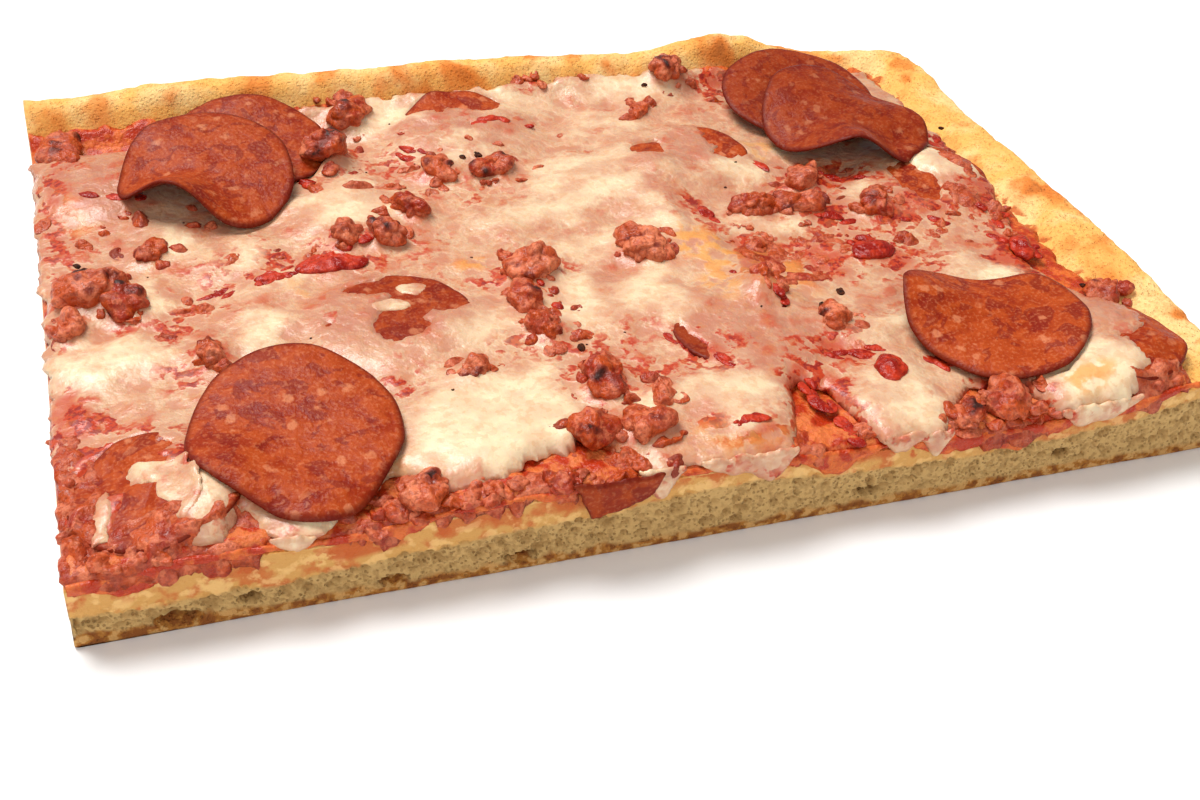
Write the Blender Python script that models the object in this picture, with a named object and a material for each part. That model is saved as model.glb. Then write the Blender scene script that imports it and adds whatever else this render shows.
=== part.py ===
"""Sausage and pepperoni pizza: one rectangular piece of a thick tray bake.

Blender 4.5 script, metres, +Z up. The piece stands on its flat base at z = 0, with +X along the
cut front edge and +Y towards the crust at the back. The crust turns the corner and runs on along
the right edge, and the front and left sides are knife cuts. A layer of sauce lies on the dough, a
layer of cheese on the sauce, and slices of pepperoni, crumbled sausage and tomato on top.
"""
import math
from typing import NamedTuple

import bmesh
import bpy
import numpy as np
from mathutils import Matrix, Vector, noise
from mathutils.bvhtree import BVHTree

MM = 0.001

# Driving dimensions of the whole piece
WIDTH = 228 * MM
DEPTH = 159 * MM
HALF_WIDTH = WIDTH / 2
HALF_DEPTH = DEPTH / 2
DOUGH_TOP = 14.6 * MM
SAUCE_THICKNESS = 1.6 * MM
CHEESE_THICKNESS = 1.4 * MM
SLICE_THICKNESS = 1.5 * MM
GAP = 0.35 * MM

# Height of the dough along the front cut, and of the crust along the back and the right
FRONT_HEIGHTS = ((-114, 12.8), (-92, 14.6), (-71, 13.2), (-41, 15.8), (-4, 15.6), (26, 14.2),
                 (58, 13.0), (79, 13.8), (97, 16.6), (114, 17.0))
BACK_HEIGHTS = ((-114, 25.4), (-75, 27.0), (-42, 26.7), (-4, 26.3), (38, 24.3), (54, 28.0),
                (64, 26.0), (80, 20.5), (92, 18.4), (114, 18.6))
RIGHT_HEIGHTS = ((-79, 17.0), (-67, 17.4), (-29, 19.8), (6, 18.6), (44, 17.0), (62, 18.5), (79, 18.6))
FRONT_REACH = 30 * MM
BACK_FOOT = 64.5 * MM
BACK_CREST = 73.5 * MM
RIGHT_FOOT = 97 * MM
RIGHT_CREST = 106 * MM
CREST_FALL = 0.16
CORNER_X = 95 * MM
CORNER_Y = 60 * MM

# The side walls of the dough: fractions of the height, and how far the crust bulges there
WALL_LEVELS = (0.84, 0.58, 0.28, 0.1, 0.0)
CRUST_ROLL = (0.95 * MM, 1.2 * MM, 1.2 * MM, 1.0 * MM, 0.2 * MM)
CUT_RELIEF = 0.6 * MM

# Holes in the crumb at the front cut: x, z, length, height
CRUMB_HOLES = ((-96.8, 2.6, 8.4, 2.9), (-84.6, 4.4, 4.0, 2.2), (-60.1, 2.8, 5.6, 1.9),
               (-37.1, 2.9, 6.0, 2.0), (31.0, 4.0, 4.4, 1.9), (72.0, 5.6, 4.0, 2.2))
HOLE_DEPTH = 4.2 * MM

# Grid of the dough: even columns and rows on the flat, closer ones through the crust
FLAT_COLUMNS = 22
FLAT_ROWS = 14
RIGHT_COLUMNS = (97, 99.5, 102, 104.5, 107, 109.5, 111.6, 112.8)
BACK_ROWS = (62, 64.5, 67, 69.5, 72, 74.5, 76.5, 77.8, 78.3)

# Sauce: how far it runs up the crust, in metres and in rows, and how it hangs over the front cut
SAUCE_RIGHT = 99.5 * MM
SAUCE_BACK_ROWS = 4
CURTAIN_INNER = 0.35 * MM
CURTAIN_OUTER = 1.4 * MM
# Drips of sauce at the front: x, half width, length
SAUCE_DRIPS = ((-104, 9, 3.5), (-60, 7, 2.0), (22, 5, 5.0), (60, 17, 3.6), (86, 8, 2.0))

# Front edge of the cheese as x, y, with its lobes and the notches between them
CHEESE_FRONT = ((-113, -46), (-106, -51), (-99, -52), (-95, -77), (-88, -78), (-84, -71), (-79, -79),
                (-73, -79), (-66, -76), (-57, -68), (-51, -75), (-41, -75), (-34, -71), (-25, -70),
                (-23, -64), (-19, -71), (-12, -79.6), (-5, -78), (6, -78.5), (14, -77), (18, -70),
                (22, -59), (27, -62), (31, -79), (44, -79), (50, -73), (56, -68), (65, -70),
                (69, -79.4), (84, -79), (93, -75), (103, -71))
# Right edge of the cheese as y, x, and its back edge as x, y
CHEESE_RIGHT = ((-80, 103), (-60, 100), (-48, 95), (-38, 91), (-28, 88), (-18, 93), (0, 98), (20, 98),
                (45, 97), (68, 95))
CHEESE_BACK = ((-114, 58), (-100, 60), (-84, 64), (-60, 67), (-20, 68), (20, 68.4), (50, 67.5), (80, 66),
               (98, 65))
CHEESE_LEFT = -113.4 * MM
CHEESE_COLUMNS = 36
CHEESE_ROWS = (0, 2.5, 6, 10.5, 16, 23, 31, 40, 49, 58, 67, 76, 85, 94, 103, 112, 121, 130, 138, 144, 147)
CHEESE_START = -79 * MM
EDGE_REACH = 32 * MM

# Thick pools of cheese: x, y, half length, half width, extra height
CHEESE_POOLS = ((-38, -60, 15, 12, 1.3), (-103, -24, 10, 6, 1.0), (-50, 22, 12, 12, 1.2),
                (8, 20, 10, 12, 1.1), (-10, 9, 10, 7, 0.8), (5, -26, 7, 9, 1.2), (30, 63, 15, 9, 1.1),
                (45, -50, 8, 7, 1.4), (38, -70, 11, 10, 1.2), (77, -76, 12, 7, 2.0), (8, -66, 11, 11, 1.0),
                (-64, -20, 10, 12, 0.9), (88, 10, 7, 6, 1.0), (64, 5, 9, 7, 1.0), (-85, -66, 6, 8, 0.8))
# A long fold of cheese, and the crumbly valley on its right
FOLD_LINE = ((18, 27), (21, 5), (25, -16), (28, -32))
FOLD_HALF_WIDTH = 6.5 * MM
FOLD_HEIGHT = 2.6 * MM
VALLEY = (36, -18, 8, 13, -0.9)
CHEESE_BUMP = 0.7 * MM
CHEESE_THINNEST = 0.8 * MM
CHEESE_EDGE = 0.6

# How finely a slice is divided, and how thin its rim is beside its middle
SLICE_RINGS = 4
SLICE_SIDES = 20
FLAT_SLICE_RINGS = 2
FLAT_SLICE_SIDES = 16
SLICE_RIM = 0.55


class Slice(NamedTuple):
    """A slice of pepperoni, in millimetres and degrees.

    rise_x and rise_y tilt it. curl lifts its rim in a pinched arch towards the bearing arch_at,
    with a lobe pressed down on either side, and a flat slice has neither and follows the cheese.
    """

    x: float
    y: float
    radius: float
    stretch: float = 1.0
    turn: float = 0.0
    centre_z: float = 0.0
    rise_x: float = 0.0
    rise_y: float = 0.0
    curl: float = 0.0
    arch_at: float = 0.0


SLICES = (
    Slice(-48, -23, 16.0),
    Slice(83, 7, 15.5),
    Slice(-16, 50.5, 16.0, centre_z=19.2, rise_y=0.12),
    Slice(-97.5, -63.5, 15.0),
    Slice(90, -65, 13.5),
    Slice(32, 27, 14.5, centre_z=18.8, rise_x=0.04, rise_y=0.08),
    Slice(19, -42.5, 15.5),
    Slice(-100, 44, 13.5),
    Slice(-67, 50, 18.5, centre_z=20.8, rise_y=0.16),
    Slice(68.5, 47, 19.5, centre_z=21.8, rise_y=0.16, rise_x=-0.02, curl=0.5, arch_at=90),
    Slice(-77, 36, 19.0, stretch=1.03, turn=100, centre_z=24.0, rise_y=0.2, curl=3.8, arch_at=235),
    Slice(73, 30.5, 20.2, stretch=1.05, turn=90, centre_z=24.8, rise_y=0.16, curl=4.0, arch_at=242),
    Slice(-72.5, -58, 19.5, stretch=1.12, turn=90, centre_z=19.9, rise_y=0.17, curl=0.6, arch_at=90),
    Slice(69, -52.5, 19.3, centre_z=20.0, rise_y=0.13, curl=1.4, arch_at=150),
)

# The slice end that hangs over the front cut: corners as x, z
HANGING_CORNERS = ((-25.0, 11.8), (-14.5, 14.2), (-12.0, 19.2), (-28.0, 19.2))
HANGING_FACE = 1.8 * MM
HANGING_THICKNESS = 1.0 * MM


class Crumble(NamedTuple):
    """A lump of sausage or tomato, in millimetres and degrees."""

    x: float
    y: float
    length: float
    width: float
    height: float
    turn: float = 0.0


SAUSAGE = (
    Crumble(-107.5, 62, 14, 10, 7, 80), Crumble(-104, -1, 13, 11, 8, 20), Crumble(-98, -6, 9, 9, 6, 100),
    Crumble(-109, -12, 8, 6, 5, 70), Crumble(-50, 44, 13, 8, 7, 80), Crumble(-41, 62, 12, 8, 7, 60),
    Crumble(-26, 33, 9, 7, 6, 110), Crumble(-14, 31, 10, 8, 6, 30), Crumble(-52, 8, 8, 6, 5, 70),
    Crumble(-43, 8, 9, 8, 6, 0), Crumble(-36, 17, 10, 6, 6, 110), Crumble(-17, -13, 12, 9, 7, 60),
    Crumble(-21, -23, 10, 7, 6, 80), Crumble(-20, -34, 9, 7, 6, 100), Crumble(-38, -45, 8, 5, 5, 80),
    Crumble(-14, -54, 13, 8, 7, 80), Crumble(-5, -60, 8, 5, 5, 60), Crumble(-11, -69, 8, 8, 6, 0),
    Crumble(-21, -68, 9, 8, 6, 40), Crumble(8, -9, 12, 10, 7, 100), Crumble(38, 1, 10, 8, 7, 10),
    Crumble(48, 0, 10, 8, 6, 160), Crumble(55, 11, 11, 7, 6, 40), Crumble(66, -4, 9, 7, 5, 80),
    Crumble(37, -44, 9, 6, 5, 90), Crumble(60, -74.6, 11, 9, 7, 0), Crumble(51, -76, 7, 6, 5, 60),
    Crumble(-54, -75, 9, 8, 6, 30), Crumble(97, -47, 9, 7, 6, 60), Crumble(40, 65, 10, 7, 6, 20),
    Crumble(28, 52, 8, 5, 4, 40), Crumble(-92, 13, 9, 6, 5, 70), Crumble(-84, -27, 7, 5, 5, 90),
    Crumble(27, -30, 9, 5, 5, 80),
)
TOMATO = (
    Crumble(-56, -1, 17, 5, 3, 5), Crumble(57, -21, 9, 8, 3, 20), Crumble(90, -27, 9, 5, 3, 75),
    Crumble(41, -62, 8, 6, 3, 60),
)
# A lump's middle stands this share of its height above what is under it, and its outline is ragged
LUMP_MIDDLE = 0.3
RAGGED = 0.3

# How far round a point the surface below it is felt, and how a piece is raised until it is clear
FEEL = 1.5 * MM
SETTLE_STEP = 0.1 * MM
SETTLE_STEPS = 60


def clear_scene():
    """Remove every object that the file starts with."""
    for thing in list(bpy.data.objects):
        bpy.data.objects.remove(thing, do_unlink=True)


def finish(name, colour, roughness):
    """Return a plain Principled finish of the given colour and roughness."""
    material = bpy.data.materials.new(name)
    material.use_nodes = True
    shader = material.node_tree.nodes["Principled BSDF"]
    shader.inputs["Base Color"].default_value = (*colour, 1.0)
    shader.inputs["Roughness"].default_value = roughness
    shader.inputs["Metallic"].default_value = 0.0
    return material


def smooth(t):
    """Return the smooth step of t, held between 0 and 1."""
    t = min(max(t, 0.0), 1.0)
    return t * t * (3 - 2 * t)


def along(value, points):
    """Return the second value of the points, in metres, eased between them by the first."""
    here = value / MM
    if here <= points[0][0]:
        return points[0][1] * MM
    for (start, low), (end, high) in zip(points, points[1:]):
        if here <= end:
            return (low + (high - low) * smooth((here - start) / (end - start))) * MM
    return points[-1][1] * MM


def straight(value, points):
    """Return the second value of the points, in metres, on straight lines between them."""
    table = np.array(points, float) * MM
    return float(np.interp(value, table[:, 0], table[:, 1]))


def waves(x, y, size, seed):
    """Return smooth noise between about -1 and 1 whose swells are about size apart."""
    return noise.noise(Vector((x / size + seed * 7.7, y / size - seed * 3.1, seed * 1.9)))


def swell(x, y, spot):
    """Return the soft mound that a pool of the given place, half lengths and height adds."""
    spot_x, spot_y, half_x, half_y, height = (value * MM for value in spot)
    return height * math.exp(-((x - spot_x) / half_x) ** 2 - ((y - spot_y) / half_y) ** 2)


def crust_profile(place, foot, crest, edge):
    """Return how much of the crust's height stands at a place between its foot and its edge."""
    if place <= crest:
        return smooth((place - foot) / (crest - foot))
    return 1 - CREST_FALL * ((place - crest) / (edge - crest)) ** 2


def dough_height(x, y):
    """Return the height of the dough's upper surface."""
    front = math.exp(-(y + HALF_DEPTH) / FRONT_REACH)
    flat = DOUGH_TOP + front * (along(x, FRONT_HEIGHTS) - DOUGH_TOP) + 0.7 * MM * waves(x, y, 48 * MM, 1)
    back = (along(x, BACK_HEIGHTS) - flat) * crust_profile(y, BACK_FOOT, BACK_CREST, HALF_DEPTH)
    right = (along(y, RIGHT_HEIGHTS) - flat) * crust_profile(x, RIGHT_FOOT, RIGHT_CREST, HALF_WIDTH)
    crust = max(back, right, 0.0)
    return flat + crust + smooth(crust / (4 * MM)) * 0.8 * MM * waves(x, y, 17 * MM, 2)


def round_corner(x, y):
    """Return the place on the dough of a grid point, which rounds the corner of the crust."""
    across = max(0.0, (x - CORNER_X) / (HALF_WIDTH - CORNER_X))
    deep = max(0.0, (y - CORNER_Y) / (HALF_DEPTH - CORNER_Y))
    if not across or not deep:
        return x, y
    return (CORNER_X + (x - CORNER_X) * math.sqrt(1 - deep * deep / 2),
            CORNER_Y + (y - CORNER_Y) * math.sqrt(1 - across * across / 2))


def outward(x, y, column_is_last, row_is_last):
    """Return the direction in which the crust bulges at a point of its outer edge."""
    if column_is_last and row_is_last or x > CORNER_X and y > CORNER_Y:
        return Vector((x - CORNER_X, y - CORNER_Y, 0)).normalized()
    return Vector((float(column_is_last), float(row_is_last), 0))


def border(rows, columns):
    """Return the grid places round the edge of a grid, anticlockwise from its first corner."""
    return ([(0, column) for column in range(columns)]
            + [(row, columns - 1) for row in range(1, rows)]
            + [(rows - 1, column) for column in range(columns - 2, -1, -1)]
            + [(row, 0) for row in range(rows - 2, 0, -1)])


def grid_faces(rows, columns, start=0, upwards=True):
    """Return the triangles of a grid of points, all split along the same diagonal."""
    faces = []
    for row in range(rows - 1):
        for column in range(columns - 1):
            corner = start + row * columns + column
            above = corner + columns
            pair = [(corner, corner + 1, above + 1), (corner, above + 1, above)]
            faces += pair if upwards else [face[::-1] for face in pair]
    return faces


def strip_faces(upper, lower):
    """Return the triangles between two equal loops of points, the upper one anticlockwise."""
    faces = []
    for here in range(len(upper)):
        after = (here + 1) % len(upper)
        faces.append((upper[here], lower[here], lower[after]))
        faces.append((upper[here], lower[after], upper[after]))
    return faces


def add_body(name, points, faces, material, sharp=40):
    """Make a named object of the points and faces, carried by the piece's empty."""
    mesh = bpy.data.meshes.new(name)
    mesh.from_pydata([tuple(point) for point in points], [], faces)
    mesh.materials.append(material)
    mesh.shade_smooth()
    mesh.set_sharp_from_angle(angle=math.radians(sharp))
    thing = bpy.data.objects.new(name, mesh)
    bpy.context.scene.collection.objects.link(thing)
    thing.parent = bpy.data.objects["piece"]
    return thing


class Stack:
    """The pieces laid so far, felt from above and tested for touching."""

    def __init__(self):
        self.trees = []

    def add(self, points, faces):
        """Lay a piece of the given points and faces on the stack."""
        self.trees.append(BVHTree.FromPolygons([Vector(point) for point in points], faces))

    def height(self, x, y, reach=0.0):
        """Return the highest point under x, y, or within reach of it, and zero where none is."""
        highest = 0.0
        for step_x, step_y in ((0, 0), (reach, 0), (-reach, 0), (0, reach), (0, -reach)):
            above = Vector((x + step_x, y + step_y, 1.0))
            for tree in self.trees:
                hit = tree.ray_cast(above, Vector((0, 0, -1)))[0]
                if hit is not None:
                    highest = max(highest, hit.z)
            if not reach:
                break
        return highest

    def settle(self, points, faces):
        """Raise a piece until it touches nothing, lay it on the stack and return its points."""
        points = np.array(points, float)
        for _ in range(SETTLE_STEPS):
            tree = BVHTree.FromPolygons([Vector(point) for point in points], faces)
            if not any(tree.overlap(other) for other in self.trees):
                break
            points[:, 2] += SETTLE_STEP
        self.add(points, faces)
        return points


def build_dough(material, stack):
    """Make the dough with its crust, cut walls and the holes in its crumb."""
    xs = [*np.linspace(-HALF_WIDTH, CORNER_X, FLAT_COLUMNS), *(value * MM for value in RIGHT_COLUMNS)]
    ys = [*np.linspace(-HALF_DEPTH, CORNER_Y, FLAT_ROWS), *(value * MM for value in BACK_ROWS)]
    rows, columns = len(ys), len(xs)
    points = [Vector((*round_corner(x, y), dough_height(x, y))) for y in ys for x in xs]
    faces = grid_faces(rows, columns)
    edge = border(rows, columns)
    loop = [row * columns + column for row, column in edge]
    rim = [points[index].copy() for index in loop]
    for level, roll in zip(WALL_LEVELS, CRUST_ROLL):
        lower = []
        for point, (row, column) in zip(rim, edge):
            side, back = column == columns - 1, row == rows - 1
            place = point + outward(point.x, point.y, side, back) * roll * (side or back)
            dent = CUT_RELIEF * (0.5 + 0.5 * waves(point.x + point.y, point.z * level, 7 * MM, 3))
            dent *= level > 0
            place.x += dent * (column == 0)
            place.y += dent * (row == 0)
            place.z = point.z * level
            lower.append(len(points))
            points.append(place)
        faces += strip_faces(loop, lower)
        loop = lower
    faces.append(tuple(reversed(loop)))
    stack.add(points, faces)
    dough = add_body("dough", points, faces, material)
    cut = dough.modifiers.new("crumb_holes", "BOOLEAN")
    cut.operation = "DIFFERENCE"
    cut.object = hole_cutter()


def hole_cutter():
    """Return the guide object whose flattened balls open the holes in the front cut."""
    shape = bmesh.new()
    for x, z, length, height in CRUMB_HOLES:
        size = Matrix.Diagonal((length * MM / 2, HOLE_DEPTH, height * MM / 2, 1))
        place = Matrix.Translation((x * MM, -HALF_DEPTH, z * MM))
        bmesh.ops.create_icosphere(shape, subdivisions=2, radius=1, matrix=place @ size)
    mesh = bpy.data.meshes.new("hole_cutter")
    shape.to_mesh(mesh)
    shape.free()
    cutter = bpy.data.objects.new("hole_cutter", mesh)
    bpy.context.scene.collection.objects.link(cutter)
    cutter.parent = bpy.data.objects["piece"]
    cutter.hide_render = True
    cutter.display_type = "WIRE"
    return cutter


def add_slab(name, lower, upper, material, stack):
    """Make the closed layer between two equal grids of points, and lay it on the stack."""
    rows, columns = lower.shape[:2]
    count = rows * columns
    points = np.concatenate([upper.reshape(count, 3), lower.reshape(count, 3)])
    faces = grid_faces(rows, columns) + grid_faces(rows, columns, count, upwards=False)
    loop = [row * columns + column for row, column in border(rows, columns)]
    faces += strip_faces(loop, [index + count for index in loop])
    add_body(name, stack.settle(points, faces), faces, material)


def build_sauce(material, stack):
    """Make the layer of sauce, with the drips that hang over the front cut."""
    xs = [*np.linspace(-HALF_WIDTH, CORNER_X, FLAT_COLUMNS), RIGHT_FOOT, SAUCE_RIGHT]
    crust_rows = BACK_ROWS[:SAUCE_BACK_ROWS]
    ys = [*np.linspace(-HALF_DEPTH, CORNER_Y, FLAT_ROWS), *(value * MM for value in crust_rows)]
    lower = np.zeros((len(ys) + 2, len(xs), 3))
    upper = np.zeros_like(lower)
    for column, x in enumerate(xs):
        for row, y in enumerate(ys):
            place = round_corner(x, y)
            under = dough_height(x, y) + GAP
            thickness = SAUCE_THICKNESS * (1 + 0.35 * waves(x, y, 22 * MM, 4))
            if row == len(ys) - 1 or column == len(xs) - 1:
                thickness *= 0.5
            lower[row + 2, column] = (*place, under)
            upper[row + 2, column] = (*place, under + thickness)
        brink = lower[2, column, 2]
        drip = 0.6 * MM
        for middle, half, length in SAUCE_DRIPS:
            drip += length * MM * math.exp(-((x / MM - middle) / half) ** 2)
        lower[1, column] = (x, -HALF_DEPTH - CURTAIN_INNER, brink)
        upper[1, column] = (x, -HALF_DEPTH - CURTAIN_OUTER * 0.9, brink + SAUCE_THICKNESS * 0.6)
        lower[0, column] = (x, -HALF_DEPTH - CURTAIN_INNER, brink - drip)
        upper[0, column] = (x, -HALF_DEPTH - CURTAIN_OUTER, brink - drip * 0.8)
    add_slab("sauce", lower, upper, material, stack)


def fold_height(x, y):
    """Return what the long fold of cheese adds at a place, steeper on its right side."""
    ends = np.array(FOLD_LINE, float) * MM
    ys, xs = ends[::-1, 1], ends[::-1, 0]
    middle = float(np.interp(y, ys, xs))
    past = max(0.0, y - ys[-1], ys[0] - y)
    side = (x - middle) / (FOLD_HALF_WIDTH if x < middle else FOLD_HALF_WIDTH * 0.6)
    return FOLD_HEIGHT * math.exp(-side * side - (past / (6 * MM)) ** 2)


def build_cheese(material, stack):
    """Make the layer of melted cheese, with its ragged front edge, thick pools and long fold."""
    rows, columns = len(CHEESE_ROWS), CHEESE_COLUMNS
    lower = np.zeros((rows, columns, 3))
    upper = np.zeros_like(lower)
    for row, step in enumerate(CHEESE_ROWS):
        level = CHEESE_START + step * MM
        right = straight(level, CHEESE_RIGHT)
        for column, x in enumerate(np.linspace(CHEESE_LEFT, right, columns)):
            front = straight(x, CHEESE_FRONT) - CHEESE_START
            back = straight(x, CHEESE_BACK) - (CHEESE_START + CHEESE_ROWS[-1] * MM)
            far = level - CHEESE_START
            near_back = CHEESE_ROWS[-1] * MM - far
            y = level + front * max(0.0, 1 - far / EDGE_REACH) + back * max(0.0, 1 - near_back / EDGE_REACH)
            bump = CHEESE_BUMP * (waves(x, y, 15 * MM, 5) + 0.5 * waves(x, y, 7 * MM, 6))
            rise = sum(swell(x, y, pool) for pool in (*CHEESE_POOLS, VALLEY)) + fold_height(x, y)
            thickness = max(CHEESE_THICKNESS + bump + rise, CHEESE_THINNEST)
            if row in (0, rows - 1) or column in (0, columns - 1):
                thickness = max(thickness * CHEESE_EDGE, CHEESE_THINNEST)
            under = stack.height(x, y, FEEL) + GAP
            lower[row, column] = (x, y, under)
            upper[row, column] = (x, y, under + thickness)
    add_slab("cheese", lower, upper, material, stack)


def slice_reach(spot, bearing):
    """Return how far a slice reaches towards a bearing before its rim or a cut side ends it."""
    ripple = 1 + 0.025 * math.sin(3 * bearing + spot.x) + 0.015 * math.sin(7 * bearing + spot.y)
    local = bearing - math.radians(spot.turn)
    oval = spot.stretch / math.hypot(math.cos(local), spot.stretch * math.sin(local))
    reach = spot.radius * MM * ripple * oval
    if math.cos(bearing) < 0:
        reach = min(reach, (spot.x * MM + HALF_WIDTH - GAP) / -math.cos(bearing))
    if math.sin(bearing) < 0:
        reach = min(reach, (spot.y * MM + HALF_DEPTH - GAP) / -math.sin(bearing))
    return reach


def build_slice(name, spot, material, stack):
    """Make one slice of pepperoni, curled as it is or laid flat on what is under it."""
    raised = spot.centre_z > 0
    rings, sides = (SLICE_RINGS, SLICE_SIDES) if raised else (FLAT_SLICE_RINGS, FLAT_SLICE_SIDES)
    under = [(spot.x * MM, spot.y * MM, spot.centre_z * MM)]
    for ring in range(1, rings + 1):
        for side in range(sides):
            bearing = math.tau * side / sides
            share = ring / rings
            east = slice_reach(spot, bearing) * share * math.cos(bearing)
            north = slice_reach(spot, bearing) * share * math.sin(bearing)
            swing = bearing - math.radians(spot.arch_at)
            curl = spot.curl * MM * share ** 2 * math.cos(3 * swing) * (0.5 + 0.5 * math.cos(swing))
            z = spot.centre_z * MM + spot.rise_x * east + spot.rise_y * north + curl
            under.append((spot.x * MM + east, spot.y * MM + north, z))
    points = [(x, y, max(z, stack.height(x, y, FEEL) + GAP)) for x, y, z in under]
    count = len(points)
    rim_start = count - sides
    for index, (x, y, z) in enumerate(points[:count]):
        points.append((x, y, z + SLICE_THICKNESS * (SLICE_RIM if index >= rim_start else 1.0)))
    faces = []
    for side in range(sides):
        after = (side + 1) % sides
        faces.append((count, count + 1 + side, count + 1 + after))
        faces.append((0, 1 + after, 1 + side))
        for ring in range(rings - 1):
            inner, outer = 1 + ring * sides, 1 + (ring + 1) * sides
            quad = (inner + side, outer + side, outer + after, inner + after)
            for face in (quad[:3], (quad[0], quad[2], quad[3])):
                faces.append(tuple(count + index for index in face))
                faces.append(face[::-1])
    rim = [rim_start + side for side in range(sides)]
    faces += strip_faces([count + index for index in rim], rim)
    add_body(name, stack.settle(points, faces), faces, material)


def build_hanging_slice(name, material, stack):
    """Make the slice end that hangs over the front cut between two lobes of cheese."""
    corners = np.array(HANGING_CORNERS, float) * MM
    rows, columns = 4, 6
    grid = np.zeros((rows, columns, 3))
    for row in range(rows):
        for column in range(columns):
            across, up = column / (columns - 1), row / (rows - 1)
            low = corners[0] * (1 - across) + corners[1] * across
            high = corners[3] * (1 - across) + corners[2] * across
            x, z = low * (1 - up) + high * up
            y = -HALF_DEPTH - HANGING_FACE - 0.25 * MM * (1 + waves(x, z, 5 * MM, 8))
            grid[row, column] = (x, y, z)
    front = grid - (0, HANGING_THICKNESS, 0)
    count = rows * columns
    points = np.concatenate([front.reshape(count, 3), grid.reshape(count, 3)])
    faces = grid_faces(rows, columns) + grid_faces(rows, columns, count, upwards=False)
    loop = [row * columns + column for row, column in border(rows, columns)]
    faces += strip_faces(loop, [index + count for index in loop])
    add_body(name, points, faces, material)
    stack.add(points, faces)


def build_crumble(name, spot, number, material, stack):
    """Make one ragged lump that sits on what is under it."""
    shape = bmesh.new()
    bmesh.ops.create_icosphere(shape, subdivisions=2, radius=1)
    turn = Matrix.Rotation(math.radians(spot.turn), 3, "Z")
    half = Vector((spot.length, spot.width, spot.height)) * MM / 2
    base = stack.height(spot.x * MM, spot.y * MM, min(half.x, half.y) * 0.5)
    points = []
    for vertex in shape.verts:
        ragged = 1 + RAGGED * noise.noise(vertex.co * 1.7 + Vector((number * 5.3, 0, 0)))
        place = turn @ Vector([length * size for length, size in zip(vertex.co * ragged, half)])
        x, y = spot.x * MM + place.x, spot.y * MM + place.y
        z = max(base + half.z * 2 * LUMP_MIDDLE + place.z, stack.height(x, y, FEEL) + GAP)
        points.append((x, y, z))
    faces = [tuple(vertex.index for vertex in face.verts) for face in shape.faces]
    shape.free()
    add_body(name, stack.settle(points, faces), faces, material, sharp=60)


def build_piece():
    """Build the whole piece from the dough up."""
    clear_scene()
    carrier = bpy.data.objects.new("piece", None)
    bpy.context.scene.collection.objects.link(carrier)
    front_reach = HANGING_FACE + 0.5 * MM + HANGING_THICKNESS
    carrier.location = (0, front_reach / 2, 0)
    stack = Stack()
    build_dough(finish("baked_dough", (0.72, 0.53, 0.27), 0.8), stack)
    build_sauce(finish("tomato_sauce", (0.52, 0.06, 0.015), 0.35), stack)
    build_cheese(finish("melted_cheese", (0.80, 0.55, 0.34), 0.4), stack)
    pepperoni = finish("pepperoni", (0.40, 0.06, 0.02), 0.4)
    for number, spot in enumerate(SLICES, 1):
        build_slice(f"pepperoni_{number:02d}", spot, pepperoni, stack)
    build_hanging_slice(f"pepperoni_{len(SLICES) + 1:02d}", pepperoni, stack)
    sausage = finish("sausage", (0.42, 0.09, 0.04), 0.6)
    for number, spot in enumerate(SAUSAGE, 1):
        build_crumble(f"sausage_{number:02d}", spot, number, sausage, stack)
    tomato = finish("tomato", (0.55, 0.03, 0.01), 0.3)
    for number, spot in enumerate(TOMATO, 1):
        build_crumble(f"tomato_{number:02d}", spot, number + len(SAUSAGE), tomato, stack)
    bpy.context.view_layer.update()


build_piece()
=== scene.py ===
"""Looks of one piece of sausage and pepperoni tray pizza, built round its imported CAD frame.

Lengths in this script are millimetres unless a name says otherwise, and become metres where a mesh is
made. Places are those of the CAD design: x along the cut front, y from the front (-79.5) to the back
crust (79.5), z up from the flat base. The frame holds the same design moved back by FRAME_SHIFT.
"""

import logging
import math
from dataclasses import dataclass
from enum import Enum, IntEnum
from typing import Iterable, NamedTuple, Sequence

import bmesh
import bpy
import numpy as np
from mathutils import Matrix, Vector
from mathutils.bvhtree import BVHTree

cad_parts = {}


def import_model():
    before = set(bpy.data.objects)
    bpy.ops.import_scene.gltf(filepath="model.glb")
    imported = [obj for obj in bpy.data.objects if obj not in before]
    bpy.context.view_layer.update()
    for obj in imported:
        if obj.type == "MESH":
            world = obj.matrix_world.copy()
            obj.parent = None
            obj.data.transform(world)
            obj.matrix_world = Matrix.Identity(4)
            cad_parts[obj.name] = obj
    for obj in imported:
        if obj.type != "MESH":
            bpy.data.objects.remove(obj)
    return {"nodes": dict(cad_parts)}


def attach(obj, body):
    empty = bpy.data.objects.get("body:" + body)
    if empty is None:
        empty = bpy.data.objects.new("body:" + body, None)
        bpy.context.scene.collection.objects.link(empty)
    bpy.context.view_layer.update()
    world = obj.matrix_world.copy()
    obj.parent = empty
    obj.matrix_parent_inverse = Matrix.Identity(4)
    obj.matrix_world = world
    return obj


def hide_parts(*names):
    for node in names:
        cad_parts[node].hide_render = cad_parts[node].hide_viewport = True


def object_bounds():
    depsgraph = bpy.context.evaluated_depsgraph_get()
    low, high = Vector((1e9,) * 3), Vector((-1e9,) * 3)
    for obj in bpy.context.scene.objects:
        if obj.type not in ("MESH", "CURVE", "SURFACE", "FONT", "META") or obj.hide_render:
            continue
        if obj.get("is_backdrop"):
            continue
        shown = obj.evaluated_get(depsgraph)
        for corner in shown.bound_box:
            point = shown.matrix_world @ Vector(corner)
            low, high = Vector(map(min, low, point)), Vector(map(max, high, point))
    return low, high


LOG = logging.getLogger("pizza")
MM = 0.001
BODY = "root"

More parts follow.
